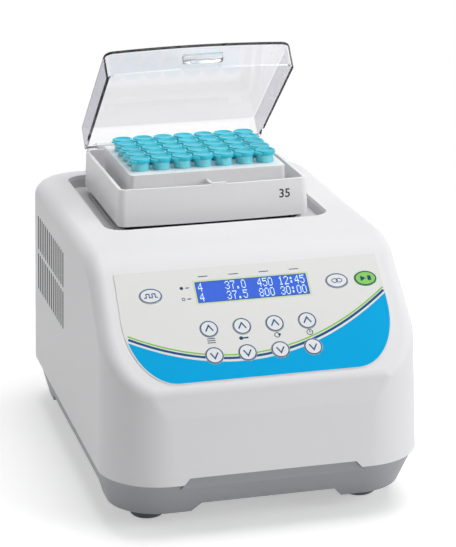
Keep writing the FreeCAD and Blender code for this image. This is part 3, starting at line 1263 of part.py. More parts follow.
def board_screws():
    """Four screws that hold the board to its posts."""
    length = BOARD_THICKNESS + BOARD_SCREW_LENGTH
    item = screw(BOARD_SCREW_DIAMETER, length, BOARD_SCREW_HEAD, BOARD_SCREW_HEAD_HEIGHT)
    item.rotate(V(0, 0, 0), V(1, 0, 0), 180)
    under = BOARD_TOP - BOARD_THICKNESS
    return Part.makeCompound([on_panel(move(item, x, y, under)) for x, y in board_post_places()])


def key_switches():
    """One small push switch under each key."""
    items = []
    for _, x, y, _, _ in key_places():
        body = centred_box(SWITCH_SIZE, SWITCH_SIZE, BOARD_TOP, BOARD_TOP + SWITCH_HEIGHT, x, y)
        items.append(on_panel(body.fuse(post(SWITCH_PLUNGER, BOARD_TOP, SWITCH_TOP, x, y))))
    return Part.makeCompound(items)


def key_cap(key):
    """A key with a flange behind the panel."""
    body = key_prism(key, 0, KEY_BOTTOM, KEY_TOP)
    flange = key_prism(key, KEY_FLANGE, KEY_BOTTOM, -CASE_WALL)
    return on_panel(body.fuse(flange).removeSplitter())


def fan_frame():
    """Square fan frame with a round opening, a motor plate and three struts."""
    y0 = FAN_PAD_FACE - FAN_DEPTH
    y1 = FAN_PAD_FACE
    half = FAN_SIZE / 2
    body = box(FAN_X - half, FAN_X + half, y0, y1, FAN_HEIGHT - half, FAN_HEIGHT + half)
    body = body.cut(rod_y(FAN_BORE, y0, y1, FAN_X, FAN_HEIGHT))
    body = body.cut([rod_y(FAN_SCREW_DIAMETER, y0, y1, x, z) for x, z in fan_screw_places()])
    hub = rod_y(FAN_HUB, y0, y0 + FAN_STRUT_DEPTH, FAN_X, FAN_HEIGHT)
    hub = hub.fuse(rod_y(FAN_SPINDLE, y0, y1 - 2 * FAN_STRUT_DEPTH, FAN_X, FAN_HEIGHT))
    for i in range(3):
        strut = box(FAN_X - FAN_STRUT_WIDTH / 2, FAN_X + FAN_STRUT_WIDTH / 2, y0, y0 + FAN_STRUT_DEPTH,
                    FAN_HEIGHT, FAN_HEIGHT + FAN_BORE / 2 + FAN_TIP_GAP)
        strut.rotate(V(FAN_X, y0, FAN_HEIGHT), V(0, 1, 0), 60 + 120 * i)
        hub = hub.fuse(strut)
    return body.fuse(hub).removeSplitter()


def fan_rotor():
    """Hub and pitched blades on the fan's spindle."""
    y0 = FAN_PAD_FACE - FAN_DEPTH + FAN_STRUT_DEPTH + FAN_TIP_GAP
    y1 = FAN_PAD_FACE - FAN_STRUT_DEPTH
    middle = (y0 + y1) / 2
    half = FAN_BLADE_THICKNESS / 2
    tip = FAN_BORE / 2 - FAN_TIP_GAP
    hub = rod_y(FAN_HUB, y0, y1, FAN_X, FAN_HEIGHT)
    blades = []
    for i in range(FAN_BLADES):
        blade = box(FAN_X - half, FAN_X + half, y0, y1, FAN_HEIGHT + FAN_HUB / 3, FAN_HEIGHT + tip)
        blade.rotate(V(FAN_X, middle, FAN_HEIGHT), V(0, 0, 1), FAN_BLADE_TURN)
        blade.rotate(V(FAN_X, middle, FAN_HEIGHT), V(0, 1, 0), 360 / FAN_BLADES * i)
        blades.append(blade)
    swept = rod_y(2 * tip, y0, y1, FAN_X, FAN_HEIGHT)
    body = hub.fuse([blade.common(swept) for blade in blades])
    bore = rod_y(FAN_SPINDLE + 2 * RUNNING_PLAY, y0, y1 - FAN_STRUT_DEPTH + FAN_TIP_GAP, FAN_X, FAN_HEIGHT)
    return body.cut(bore).removeSplitter()


def fan_screws():
    """Four screws from the rear through the grille wall and the fan."""
    items = []
    for x, z in fan_screw_places():
        rod = rod_y(FAN_SCREW_DIAMETER - 2 * SCREW_PLAY, FAN_PAD_FACE - FAN_DEPTH, FAN_SCREW_SEAT, x, z)
        head = rod_y(FAN_SCREW_HEAD, FAN_SCREW_SEAT, FAN_SCREW_SEAT + FAN_SCREW_HEAD_HEIGHT, x, z)
        items.append(rod.fuse(head))
    return Part.makeCompound(items)


def power_inlet():
    """Appliance inlet with a shaped cavity and three flat pins."""
    half_w = INLET_WIDTH / 2
    half_h = INLET_HEIGHT / 2
    flange_front = RECESS_FACE + INLET_FLANGE_THICKNESS
    body = box(INLET_X - half_w + SCREW_PLAY, INLET_X + half_w - SCREW_PLAY,
               flange_front - INLET_DEPTH, RECESS_FACE,
               RECESS_LEVEL - half_h + SCREW_PLAY, RECESS_LEVEL + half_h - SCREW_PLAY)
    flange = box(INLET_X - half_w - INLET_FLANGE, INLET_X + half_w + INLET_FLANGE, RECESS_FACE, flange_front,
                 RECESS_LEVEL - half_h - INLET_FLANGE, RECESS_LEVEL + half_h + INLET_FLANGE)
    cavity = centred_box(INLET_CAVITY_WIDTH, 2 * INLET_CAVITY_DEPTH, RECESS_LEVEL - INLET_CAVITY_HEIGHT / 2,
                         RECESS_LEVEL + INLET_CAVITY_HEIGHT / 2, INLET_X, flange_front)
    long_edges = [e for e in cavity.Edges if e.BoundBox.YLength > INLET_CAVITY_DEPTH]
    corners = [e for e in long_edges if e.BoundBox.ZMax > RECESS_LEVEL]
    cavity = cavity.makeChamfer(INLET_CAVITY_HEIGHT / 4, corners)
    body = body.fuse(flange).cut(cavity)
    back = flange_front - INLET_CAVITY_DEPTH
    pins = []
    for i in (-1, 0, 1):
        z = RECESS_LEVEL + (INLET_PIN_RAISE if i == 0 else -INLET_PIN_RAISE)
        x = INLET_X + i * INLET_PIN_SPACING
        pins.append(centred_box(INLET_PIN_THICKNESS, INLET_PIN_LENGTH, z - INLET_PIN_HEIGHT / 2,
                                z + INLET_PIN_HEIGHT / 2, x, back + INLET_PIN_LENGTH / 2 - WEB_GAP))
    return body.fuse(pins).removeSplitter()


def switch_pivot():
    """Pivot of the rocker as Y and Z."""
    return RECESS_FACE + INLET_FLANGE_THICKNESS - ROCKER_PIVOT_IN, RECESS_LEVEL


def switch_frame():
    """Snap-in frame of the power switch with pivot holes."""
    front = RECESS_FACE + INLET_FLANGE_THICKNESS
    y, z = switch_pivot()
    body = box(SWITCH_X - ROCKER_CUT_WIDTH / 2 + SCREW_PLAY, SWITCH_X + ROCKER_CUT_WIDTH / 2 - SCREW_PLAY,
               front - ROCKER_DEPTH, RECESS_FACE, z - ROCKER_CUT_HEIGHT / 2 + SCREW_PLAY,
               z + ROCKER_CUT_HEIGHT / 2 - SCREW_PLAY)
    flange = box(SWITCH_X - ROCKER_FRAME_WIDTH / 2, SWITCH_X + ROCKER_FRAME_WIDTH / 2, RECESS_FACE, front,
                 z - ROCKER_FRAME_HEIGHT / 2, z + ROCKER_FRAME_HEIGHT / 2)
    body = body.fuse(flange)
    swing = ROCKER_LENGTH / 2 * math.sin(math.radians(ROCKER_TILT)) + ROCKER_THICKNESS + ROCKER_GAP
    room = box(SWITCH_X - ROCKER_WIDTH / 2 - ROCKER_GAP, SWITCH_X + ROCKER_WIDTH / 2 + ROCKER_GAP,
               y - swing, front + OVERRUN, z - ROCKER_LENGTH / 2 - 3 * ROCKER_GAP,
               z + ROCKER_LENGTH / 2 + 3 * ROCKER_GAP)
    hole = rod_x(ROCKER_PIN + 2 * RUNNING_PLAY, SWITCH_X - ROCKER_WIDTH / 2 - 2 * ROCKER_GAP - RUNNING_PLAY,
                 SWITCH_X + ROCKER_WIDTH / 2 + 2 * ROCKER_GAP + RUNNING_PLAY, y, z)
    return body.cut([room, hole]).removeSplitter()


def power_rocker():
    """Rocker with two pivot stubs, resting in its off place."""
    y, z = switch_pivot()
    front = y + ROCKER_THICKNESS - ROCKER_GAP
    half = ROCKER_LENGTH / 2
    rise = half * math.tan(math.radians(ROCKER_TILT))
    points = [(y - ROCKER_THICKNESS / 2, z - half), (front + rise / 2, z - half), (front - rise / 2, z),
              (front + rise / 2, z + half), (y - ROCKER_THICKNESS / 2, z + half)]
    wire = Part.makePolygon([V(SWITCH_X - ROCKER_WIDTH / 2, a, b) for a, b in points + points[:1]])
    body = Part.Face(wire).extrude(V(ROCKER_WIDTH, 0, 0))
    body = body.fuse(rod_x(ROCKER_PIN, SWITCH_X - ROCKER_WIDTH / 2 - 2 * ROCKER_GAP,
                           SWITCH_X + ROCKER_WIDTH / 2 + 2 * ROCKER_GAP, y, z)).removeSplitter()
    body.rotate(V(SWITCH_X, y, z), V(1, 0, 0), ROCKER_TILT)
    return body


def power_supply():
    """Vented sheet-metal supply on the chassis."""
    top = CHASSIS_TOP + SUPPLY_HEIGHT
    body = centred_box(SUPPLY_WIDTH, SUPPLY_LENGTH, CHASSIS_TOP, top, SUPPLY_X, SUPPLY_Y)
    hollow = centred_box(SUPPLY_WIDTH - 2 * SUPPLY_WALL, SUPPLY_LENGTH - 2 * SUPPLY_WALL,
                         CHASSIS_TOP + SUPPLY_WALL, top - SUPPLY_WALL, SUPPLY_X, SUPPLY_Y)
    body = body.cut(hollow)
    holes = []
    for i in range(int(SUPPLY_WIDTH / SUPPLY_HOLE_PITCH) - 1):
        for j in range(int(SUPPLY_LENGTH / SUPPLY_HOLE_PITCH) - 1):
            x = SUPPLY_X - SUPPLY_WIDTH / 2 + (i + 1) * SUPPLY_HOLE_PITCH
            y = SUPPLY_Y - SUPPLY_LENGTH / 2 + (j + 1) * SUPPLY_HOLE_PITCH
            holes.append(post(SUPPLY_HOLE, top - 2 * SUPPLY_WALL, top + SUPPLY_WALL, x, y))
    return body.cut(holes)


def driver_board():
    """Motor and heater driver board on four short standoffs."""
    z0 = CHASSIS_TOP + DRIVER_LIFT
    z1 = z0 + BOARD_THICKNESS
    body = centred_box(DRIVER_WIDTH, DRIVER_LENGTH, z0, z1, DRIVER_X, DRIVER_Y)
    inset = DRIVER_STANDOFF
    spots = four(DRIVER_WIDTH - 2 * inset, DRIVER_LENGTH - 2 * inset, DRIVER_Y)
    parts = [post(DRIVER_STANDOFF, CHASSIS_TOP, z0, x + DRIVER_X, y) for x, y in spots]
    for i in (-1, 0, 1):
        y = DRIVER_Y + i * 2 * DRIVER_CAN_DIAMETER
        parts.append(post(DRIVER_CAN_DIAMETER, z1, z1 + DRIVER_CAN_HEIGHT, DRIVER_X, y))
    return body.fuse(parts).removeSplitter()


def idler_names():
    """Names of the four corner cranks with their places."""
    names = ["idler_crank_" + corner for corner in ("left_front", "left_rear", "right_front", "right_rear")]
    return list(zip(names, four(IDLER_ACROSS, IDLER_ALONG, SHAKE_Y)))


def drilled_pillars():
    """Pillars with tapped tops for the deck screws."""
    return drill(deck_pillars(), DECK_BOTTOM - SMALL_SCREW_LENGTH, DECK_BOTTOM,
                 four(PILLAR_ACROSS, PILLAR_ALONG, SHAKE_Y))


def main():
    """Build and write every sub-part."""
    save(upper_housing(), "upper_housing")
    save(well_pan(), "well_pan")
    save(rear_bay(), "rear_bay")
    save(base_tray(), "base_tray")
    save(rubber_feet(), "rubber_feet")
    save(case_screws(), "case_screws")
    save(chassis_plate(), "chassis_plate")
    save(chassis_screws(), "chassis_screws")
    save(drilled_pillars(), "deck_pillars")
    save(deck(), "bearing_deck")
    save(deck_screws(), "deck_screws")
    save(bearings(DECK_BOTTOM, 0), "deck_bearings")
    save(shaker_motor(), "shaker_motor")
    save(eccentric_shaft(), "eccentric_shaft")
    save(counterweight(), "counterweight")
    for name, (x, y) in idler_names():
        save(crank(IDLER_DIAMETER, IDLER_WEB_DIAMETER, x, y, DECK_BOTTOM + WEB_GAP / 2), name)
    save(orbit_platform(), "orbit_platform")
    save(bearings(PLATFORM_BOTTOM, ORBIT_RADIUS), "platform_bearings")
    save(heat_sink(), "heat_sink")
    save(peltier_modules(), "peltier_modules")
    save(block_seat(), "block_seat")
    save(insulation_frame(), "insulation_frame")
    save(block_tray(), "block_tray")
    save(tray_screws(), "tray_screws")
    save(tube_block(), "tube_block")
    save(sample_tubes(), "sample_tubes")
    save(tube_caps(), "tube_caps")
    save(hinge_pins(), "hinge_pins")
    save(lid_cover(), "lid_cover")
    save(lid_latch(), "lid_latch")
    save(panel_overlay(), "panel_overlay")
    save(display_window(), "display_window")
    save(display_module(), "display_module")
    save(control_board(), "control_board")
    save(board_screws(), "board_screws")
    save(key_switches(), "key_switches")
    for key in key_places():
        save(key_cap(key), key[0])
    save(fan_frame(), "fan_frame")
    save(fan_rotor(), "fan_rotor")
    save(fan_screws(), "fan_screws")
    save(power_inlet(), "power_inlet")
    save(switch_frame(), "switch_frame")
    save(power_rocker(), "power_rocker")
    save(power_supply(), "power_supply")
    save(driver_board(), "driver_board")


main()
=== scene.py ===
"""Looks of a bench thermo shaker: sloped panel, tube block in a shaken tray and an open clear lid.

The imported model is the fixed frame. A length here is in metres, unless its class says millimetres, in the frame of
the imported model: X to the right seen from the front, Y to the rear and Z up.
"""
import logging
import math
from dataclasses import dataclass
from enum import Enum
from typing import Callable, ClassVar, Optional, Sequence

import bpy
from mathutils import Matrix, Vector


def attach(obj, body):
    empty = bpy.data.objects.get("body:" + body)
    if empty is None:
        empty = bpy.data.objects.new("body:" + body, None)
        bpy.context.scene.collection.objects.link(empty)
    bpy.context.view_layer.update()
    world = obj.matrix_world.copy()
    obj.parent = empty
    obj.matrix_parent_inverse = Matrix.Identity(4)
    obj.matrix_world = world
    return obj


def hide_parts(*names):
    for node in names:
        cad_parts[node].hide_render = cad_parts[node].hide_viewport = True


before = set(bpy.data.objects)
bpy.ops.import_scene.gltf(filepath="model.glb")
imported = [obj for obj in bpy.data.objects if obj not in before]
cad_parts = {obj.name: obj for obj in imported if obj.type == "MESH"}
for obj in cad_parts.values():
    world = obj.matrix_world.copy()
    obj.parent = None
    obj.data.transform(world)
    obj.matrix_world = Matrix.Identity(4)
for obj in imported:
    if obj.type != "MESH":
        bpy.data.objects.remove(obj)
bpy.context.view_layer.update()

LOG = logging.getLogger("shaker")
MM = 0.001
Colour = tuple[float, float, float]
Point = tuple[float, float]
Place = tuple[float, float, float]


# Modelling helpers

class Tool:
    """Small steps of hand modelling, each one or two of Blender's operators."""

    @staticmethod
    def clear() -> None:
        """Deselect everything and leave edit mode."""
        if bpy.context.object and bpy.context.object.mode != "OBJECT":
            bpy.ops.object.mode_set(mode="OBJECT")
        bpy.ops.object.select_all(action="DESELECT")

    @staticmethod
    def pick(obj: bpy.types.Object) -> bpy.types.Object:
        """Make one object the only selected and active one.

        Args:
            obj: the object to work on.

        Returns:
            The same object.
        """
        Tool.clear()
        obj.select_set(True)
        bpy.context.view_layer.objects.active = obj
        return obj

    @staticmethod
    def edit(obj: bpy.types.Object, mode: str = "FACE") -> None:
        """Open an object for editing with all of it selected.

        Args:
            obj: the object to edit.
            mode: VERT, EDGE or FACE.
        """
        Tool.pick(obj)
        bpy.ops.object.mode_set(mode="EDIT")
        bpy.ops.mesh.select_mode(type=mode)
        bpy.ops.mesh.select_all(action="SELECT")

    @staticmethod
    def select(obj: bpy.types.Object, test: Callable[[Vector, Vector], bool]) -> None:
        """Select the faces whose centre and normal pass a test, and open the object for editing.

        Args:
            obj: the object to edit.
            test: takes a face's centre and normal.
        """
        Tool.pick(obj)
        bpy.ops.object.mode_set(mode="EDIT")
        bpy.ops.mesh.select_mode(type="FACE")
        bpy.ops.mesh.select_all(action="DESELECT")
        bpy.ops.object.mode_set(mode="OBJECT")
        for face in obj.data.polygons:
            face.select = test(face.center, face.normal)
        bpy.ops.object.mode_set(mode="EDIT")

    @staticmethod
    def done(obj: bpy.types.Object, place: Optional[Matrix] = None, smooth: float = 30.0) -> bpy.types.Object:
        """Close an object: bake its place into its mesh and smooth its shallow edges.

        Args:
            obj: the object to finish.
            place: a further transform for the mesh.
            smooth: largest angle in degrees that is shaded smooth.

        Returns:
            The same object, at the origin.
        """
        Tool.pick(obj)
        obj.data.transform(obj.matrix_world)
        obj.matrix_world = Matrix.Identity(4)
        if place is not None:
            obj.data.transform(place)
        obj.data.update()
        bpy.ops.object.shade_smooth_by_angle(angle=math.radians(smooth))
        return obj

    @staticmethod
    def apply(obj: bpy.types.Object, kind: str, **values: object) -> bpy.types.Object:
        """Add a modifier and apply it at once.

        Args:
            obj: the object.
            kind: the modifier's type.
            values: its settings.

        Returns:
            The same object.
        """
        Tool.pick(obj)
        modifier = obj.modifiers.new(kind.lower(), kind)
        for key, value in values.items():
            setattr(modifier, key, value)
        bpy.ops.object.modifier_apply(modifier=modifier.name)
        return obj

    @staticmethod
    def join(name: str, pieces: Sequence[bpy.types.Object]) -> bpy.types.Object:
        """Join several pieces into one.

        Args:
            name: the name of the joined piece.
            pieces: the pieces, the first of which is kept.

        Returns:
            The joined piece.
        """
        Tool.pick(pieces[0])
        for piece in pieces:
            piece.select_set(True)
        if len(pieces) > 1:
            bpy.ops.object.join()
        pieces[0].name = name
        pieces[0].data.name = name
        return pieces[0]

    @staticmethod
    def copies(master: bpy.types.Object, places: Sequence[Vector]) -> list[bpy.types.Object]:
        """Copy a piece to several places, each copy with its own mesh, and drop the master.

        Args:
            master: the piece, modelled at the origin.
            places: where the copies go.

        Returns:
            The copies.
        """
        items = []
        for place in places:
            item = master.copy()
            item.data = master.data.copy()
            item.data.transform(Matrix.Translation(place))
            bpy.context.collection.objects.link(item)
            items.append(item)
        bpy.data.objects.remove(master)
        return items

    @staticmethod
    def closed(obj: bpy.types.Object, name: str) -> bpy.types.Object:
        """Turn the faces of an edited object outwards, then name and finish it.

        Args:
            obj: the object, in edit mode.
            name: its name.

        Returns:
            The same object.
        """
        bpy.ops.mesh.select_all(action="SELECT")
        bpy.ops.mesh.normals_make_consistent(inside=False)
        bpy.ops.object.mode_set(mode="OBJECT")
        obj.name = name
        obj.data.name = name
        return Tool.done(obj)

    @staticmethod
    def lathe(name: str, profile: Sequence[Point], sides: int = 32) -> bpy.types.Object:
        """Turn a profile about Z by extruding and scaling a circle.

        Args:
            name: the piece's name.
            profile: radius and height pairs from one end to the other.
            sides: sides of the circle.

        Returns:
            The piece, at the origin.
        """
        Tool.clear()
        radius, height = profile[0]
        bpy.ops.mesh.primitive_circle_add(vertices=sides, radius=radius, location=(0, 0, height), fill_type="NGON")
        obj = bpy.context.object
        Tool.edit(obj)
        for next_radius, next_height in profile[1:]:
            bpy.ops.mesh.extrude_region_move(TRANSFORM_OT_translate={"value": (0, 0, next_height - height)})
            scale = next_radius / radius
            bpy.ops.transform.resize(value=(scale, scale, 1), center_override=(0, 0, next_height))
            radius, height = next_radius, next_height
        return Tool.closed(obj, name)

    @staticmethod
    def trace(vertices: Sequence[bpy.types.MeshVertex], points: Sequence[Point]) -> None:
        """Move vertices at z 0 onto the points of an outline."""
        for vertex, point in zip(vertices, points):
            vertex.co = (*point, 0)

    @staticmethod
    def flat(points: Sequence[Point], fill: str) -> bpy.types.Object:
        """A circle reshaped to an outline at z 0.

        Args:
            points: the outline.
            fill: NGON for a face inside it, NOTHING for its edges alone.

        Returns:
            The flat shape.
        """
        Tool.clear()
        bpy.ops.mesh.primitive_circle_add(vertices=len(points), radius=MM, fill_type=fill)
        obj = bpy.context.object
        Tool.trace(obj.data.vertices, points)
        return obj

    @staticmethod
    def thicken(obj: bpy.types.Object, name: str, thickness: float) -> bpy.types.Object:
        """Raise a flat shape upwards from z 0.

        Args:
            obj: the flat shape.
            name: the piece's name.
            thickness: how far it rises.

        Returns:
            The closed piece.
        """
        Tool.edit(obj)
        bpy.ops.mesh.extrude_region_move(TRANSFORM_OT_translate={"value": (0, 0, thickness)})
        return Tool.closed(obj, name)

    @staticmethod
    def slab(name: str, points: Sequence[Point], thickness: float) -> bpy.types.Object:
        """A flat plate that rises from z 0, with a given outline, anticlockwise seen from +Z."""
        return Tool.thicken(Tool.flat(points, "NGON"), name, thickness)

    @staticmethod
    def ring(name: str, outer: Sequence[Point], inner: Sequence[Point], thickness: float) -> bpy.types.Object:
        """A flat ring between two outlines with as many points each.

        Args:
            name: the piece's name.
            outer: the outer outline.
            inner: the inner outline, point by point inside the outer one.
            thickness: how far it rises above z 0.

        Returns:
            The ring.
        """
        obj = Tool.flat(outer, "NOTHING")
        Tool.edit(obj, "VERT")
        bpy.ops.mesh.extrude_region_move()
        bpy.ops.object.mode_set(mode="OBJECT")
        Tool.trace(obj.data.vertices[len(outer):], inner)
        return Tool.thicken(obj, name, thickness)

    @staticmethod
    def skin_of(node: str, name: str, merge: float = 0.02 * MM) -> bpy.types.Object:
        """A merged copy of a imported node's mesh, as the start of a new piece.

        Args:
            node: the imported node.
            name: the piece's name.
            merge: distance below which points are merged.

        Returns:
            The copy.
        """
        obj = bpy.data.objects.new(name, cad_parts[node].data.copy())
        obj.data.name = name
        bpy.context.collection.objects.link(obj)
        Tool.edit(obj, "VERT")
        bpy.ops.mesh.remove_doubles(threshold=merge)
        bpy.ops.object.mode_set(mode="OBJECT")
        return obj


# Finishes

class Wiring:
    """Adds nodes to one node tree and joins their sockets."""

    def __init__(self, tree: bpy.types.NodeTree) -> None:
        """Take up a tree."""
        self.nodes = tree.nodes
        self.links = tree.links

    def node(self, kind: str, values: dict[str | int, object], **settings: object) -> bpy.types.Node:
        """Add a shader node.

        Args:
            kind: its type, such as Math.
            values: its inputs, as for feed.
            settings: its own properties.

        Returns:
            The node.
        """
        node = self.nodes.new("ShaderNode" + kind)
        for key, value in settings.items():
            setattr(node, key, value)
        return self.feed(node, values)

    def feed(self, node: bpy.types.Node, values: dict[str | int, object]) -> bpy.types.Node:
        """Set a node's inputs, or link them.

        Args:
            node: the node.
            values: a value or another node's output for each input, by its name or place.

        Returns:
            The same node.
        """
        for name, value in values.items():
            if isinstance(value, bpy.types.NodeSocket):
                self.links.new(value, node.inputs[name])
            else:
                node.inputs[name].default_value = value
        return node

    def math(self, operation: str, *values: object) -> bpy.types.NodeSocket:
        """The result of a sum, of numbers or other nodes' outputs."""
        return self.node("Math", dict(enumerate(values)), operation=operation).outputs["Value"]

    def mix(self, share: bpy.types.NodeSocket, first: object, second: object) -> bpy.types.NodeSocket:
        """A blend of two colours, by the share of the second."""
        return self.node("Mix", {"Factor": share, "A": first, "B": second}, data_type="RGBA").outputs["Result"]


class Pattern(Enum):
    """The surface detail that a finish carries."""

    MOULDED = "moulded"
    BRUSHED = "brushed"


class Shading:
    """Shared node groups for colour variation, grain and brushing."""

    ENTRIES = {"Color": "Color", "Second": "Color", "Scale": "Float", "Roughness": "Float", "Spread": "Float"}
    RESULTS = {"Color": "Color", "Roughness": "Float", "Height": "Float"}
    STRETCH = {Pattern.MOULDED: (1, 1, 1), Pattern.BRUSHED: (1, 28, 28)}
    GRAIN_SHARE = {Pattern.MOULDED: 0.5, Pattern.BRUSHED: 0.85}
    GRAIN_DETAIL = 3
    CLOUD_SCALE = 9
    CLOUD_DETAIL = 4
    MIDDLE = 0.5
    groups: dict[Pattern, bpy.types.NodeTree] = {}

    @classmethod
    def group(cls, pattern: Pattern) -> bpy.types.NodeTree:
        """The node group of a pattern, built once.

        Args:
            pattern: which surface detail.

        Returns:
            The group, with Color, Roughness and Height outputs.
        """
        if pattern not in cls.groups:
            cls.groups[pattern] = cls._build(pattern)
        return cls.groups[pattern]

    @classmethod
    def _build(cls, pattern: Pattern) -> bpy.types.NodeTree:
        """Build one pattern's group from fine grain and broad clouds.

        Args:
            pattern: which surface detail.

        Returns:
            The new group.
        """
        tree = bpy.data.node_groups.new(pattern.value + "_surface", "ShaderNodeTree")
        for way, sockets in (("INPUT", cls.ENTRIES), ("OUTPUT", cls.RESULTS)):
            for name, kind in sockets.items():
                tree.interface.new_socket(name=name, in_out=way, socket_type="NodeSocket" + kind)
        wiring = Wiring(tree)
        entry = wiring.nodes.new("NodeGroupInput").outputs
        place = wiring.node("TexCoord", {}).outputs["Object"]
        stretched = wiring.node("Mapping", {"Vector": place, "Scale": cls.STRETCH[pattern]}).outputs["Vector"]
        grain = wiring.node("TexNoise", {"Vector": stretched, "Scale": entry["Scale"],
                                         "Detail": cls.GRAIN_DETAIL}).outputs["Fac"]
        cloud = wiring.node("TexNoise", {"Vector": place, "Scale": cls.CLOUD_SCALE,
                                         "Detail": cls.CLOUD_DETAIL}).outputs["Fac"]
        share = cls.GRAIN_SHARE[pattern]
        blend = wiring.math("MULTIPLY_ADD", grain, share, wiring.math("MULTIPLY", cloud, 1 - share))
        swing = wiring.math("SUBTRACT", blend, cls.MIDDLE)
        wiring.feed(wiring.nodes.new("NodeGroupOutput"), {
            "Color": wiring.mix(blend, entry["Color"], entry["Second"]),
            "Roughness": wiring.math("MULTIPLY_ADD", swing, entry["Spread"], entry["Roughness"]),
            "Height": grain})
        return tree


@dataclass(frozen=True)
class Finish:
    """One material of the object: its colour, gloss and surface detail."""

    name: str
    colour: Colour
    rough: float = 0.45
    pattern: Pattern = Pattern.MOULDED
    metal: float = 0.0
    scale: float = 900.0
    depth: float = 0.02 * MM
    shift: float = 0.03
    spread: float = 0.1
    coat: float = 0.0
    glow: float = 0.0
    clear: float = 0.0
    ior: float = 1.46
    bleed: float = 0.0
    # edge: the colour of the painted edge shade that clear plastic gets where it is seen edge on.
    edge: Optional[Colour] = None
    coat_rough: ClassVar[float] = 0.12
    bleed_radius: ClassVar[Colour] = (0.5, 1.0, 1.0)
    bleed_scale: ClassVar[float] = 5 * MM
    edge_shade_power: ClassVar[float] = 4.4
    edge_shade_gain: ClassVar[float] = 2.7
    made: ClassVar[dict[str, bpy.types.Material]] = {}

    def material(self) -> bpy.types.Material:
        """The material, built once and shared.

        Returns:
            The material.
        """
        if self.name not in self.made:
            self.made[self.name] = self._build()
        return self.made[self.name]

    def _build(self) -> bpy.types.Material:
        """Build the material's nodes.

        Returns:
            The new material.
        """
        material = bpy.data.materials.new(self.name)
        material.use_nodes = True
        wiring = Wiring(material.node_tree)
        second = [part * (1 - self.shift) for part in self.colour]
        surface = wiring.node("Group", {
            "Color": (*self.colour, 1), "Second": (*second, 1), "Scale": self.scale, "Roughness": self.rough,
            "Spread": self.spread}, node_tree=Shading.group(self.pattern))
        colour = surface.outputs["Color"]
        bump = wiring.node("Bump", {"Strength": 1.0, "Distance": self.depth, "Height": surface.outputs["Height"]})
        shader = wiring.feed(wiring.nodes["Principled BSDF"], {
            "Base Color": self._painted_edge_shade(wiring, colour) if self.edge else colour,
            "Roughness": surface.outputs["Roughness"], "Normal": bump.outputs["Normal"],
            "Metallic": self.metal, "IOR": self.ior, "Transmission Weight": self.clear,
            "Coat Weight": self.coat, "Coat Roughness": self.coat_rough})
        if self.bleed:
            wiring.feed(shader, {"Subsurface Weight": self.bleed, "Subsurface Radius": self.bleed_radius,
                                 "Subsurface Scale": self.bleed_scale})
        if self.glow:
            wiring.feed(shader, {"Emission Color": (*self.colour, 1), "Emission Strength": self.glow})
        return material

    def _painted_edge_shade(self, wiring: Wiring, colour: bpy.types.NodeSocket) -> bpy.types.NodeSocket:
        """Paint dark edges onto a clear plastic where it is seen edge on, as painted shade for the dark rims that
        refraction gives.

        Args:
            wiring: the material's nodes.
            colour: the plastic's own colour.

        Returns:
            The darkened colour.
        """
        facing = wiring.node("LayerWeight", {"Blend": 0.5}).outputs["Facing"]
        steep = wiring.math("POWER", facing, self.edge_shade_power)
        return wiring.mix(wiring.math("MULTIPLY", steep, self.edge_shade_gain), colour, (*self.edge, 1))


CASE = Finish("case_white", (0.825, 0.825, 0.84), rough=0.5, ior=1.38, scale=1400, depth=0.01 * MM)
BASE = Finish("base_grey", (0.345, 0.355, 0.375), rough=0.5, scale=1600, depth=0.03 * MM, shift=0.12)
FOOT = Finish("foot_rubber", (0.16, 0.165, 0.17), rough=0.75, scale=2200, depth=0.04 * MM, shift=0.2)
STEEL = Finish("screw_steel", (0.55, 0.55, 0.57), rough=0.32, pattern=Pattern.BRUSHED, metal=1.0, scale=300,
               depth=0.005 * MM, shift=0.15)
SHEET = Finish("sheet_steel", (0.50, 0.51, 0.53), rough=0.4, pattern=Pattern.BRUSHED, metal=1.0, scale=120,
               depth=0.008 * MM, shift=0.2)
ALUMINIUM = Finish("milled_aluminium", (0.70, 0.71, 0.73), rough=0.38, pattern=Pattern.BRUSHED, metal=1.0,
                   scale=160, depth=0.008 * MM, shift=0.12)
BLOCK = Finish("block_pale", (0.92, 0.92, 0.93), pattern=Pattern.BRUSHED, scale=140, depth=0.006 * MM, shift=0.05)
CERAMIC = Finish("white_tile", (0.85, 0.85, 0.83), rough=0.55)
BLACK = Finish("black_plastic", (0.03, 0.03, 0.034), rough=0.4, scale=1500, shift=0.3)
TRAY = Finish("tray_white", (0.88, 0.875, 0.89), rough=0.38, scale=1200, depth=0.008 * MM)
TUBE = Finish("tube_sky", (0.22, 0.84, 0.98), rough=0.22, scale=500, depth=0.01 * MM, shift=0.1, bleed=0.5, coat=0.1)
CAP = Finish("cap_cyan", (0.032, 0.53, 0.68), rough=0.34, scale=400, depth=0.01 * MM, shift=0.08, bleed=0.8)
# Well pan: the case's white plastic painted darker, as painted shade in the recess round the tray.
WELL_SHADE = Finish("pan_painted_shade", (0.66, 0.66, 0.675), rough=0.5, scale=1400, depth=0.01 * MM)
# Side vents: dark sheets and ribs in the slots, as painted shade inside the vents.
VENT_SHADE = Finish("vent_painted_shade", (0.03, 0.03, 0.032), rough=0.9, scale=2600, depth=0.05 * MM, shift=0.5, ior=1.3)
SCREW = Finish("screw_dark", (0.16, 0.16, 0.165), rough=0.35, metal=0.85, depth=0.01 * MM)
WHITE_INK = Finish("ink_white", (0.80, 0.80, 0.80), rough=0.5, depth=0.005 * MM)
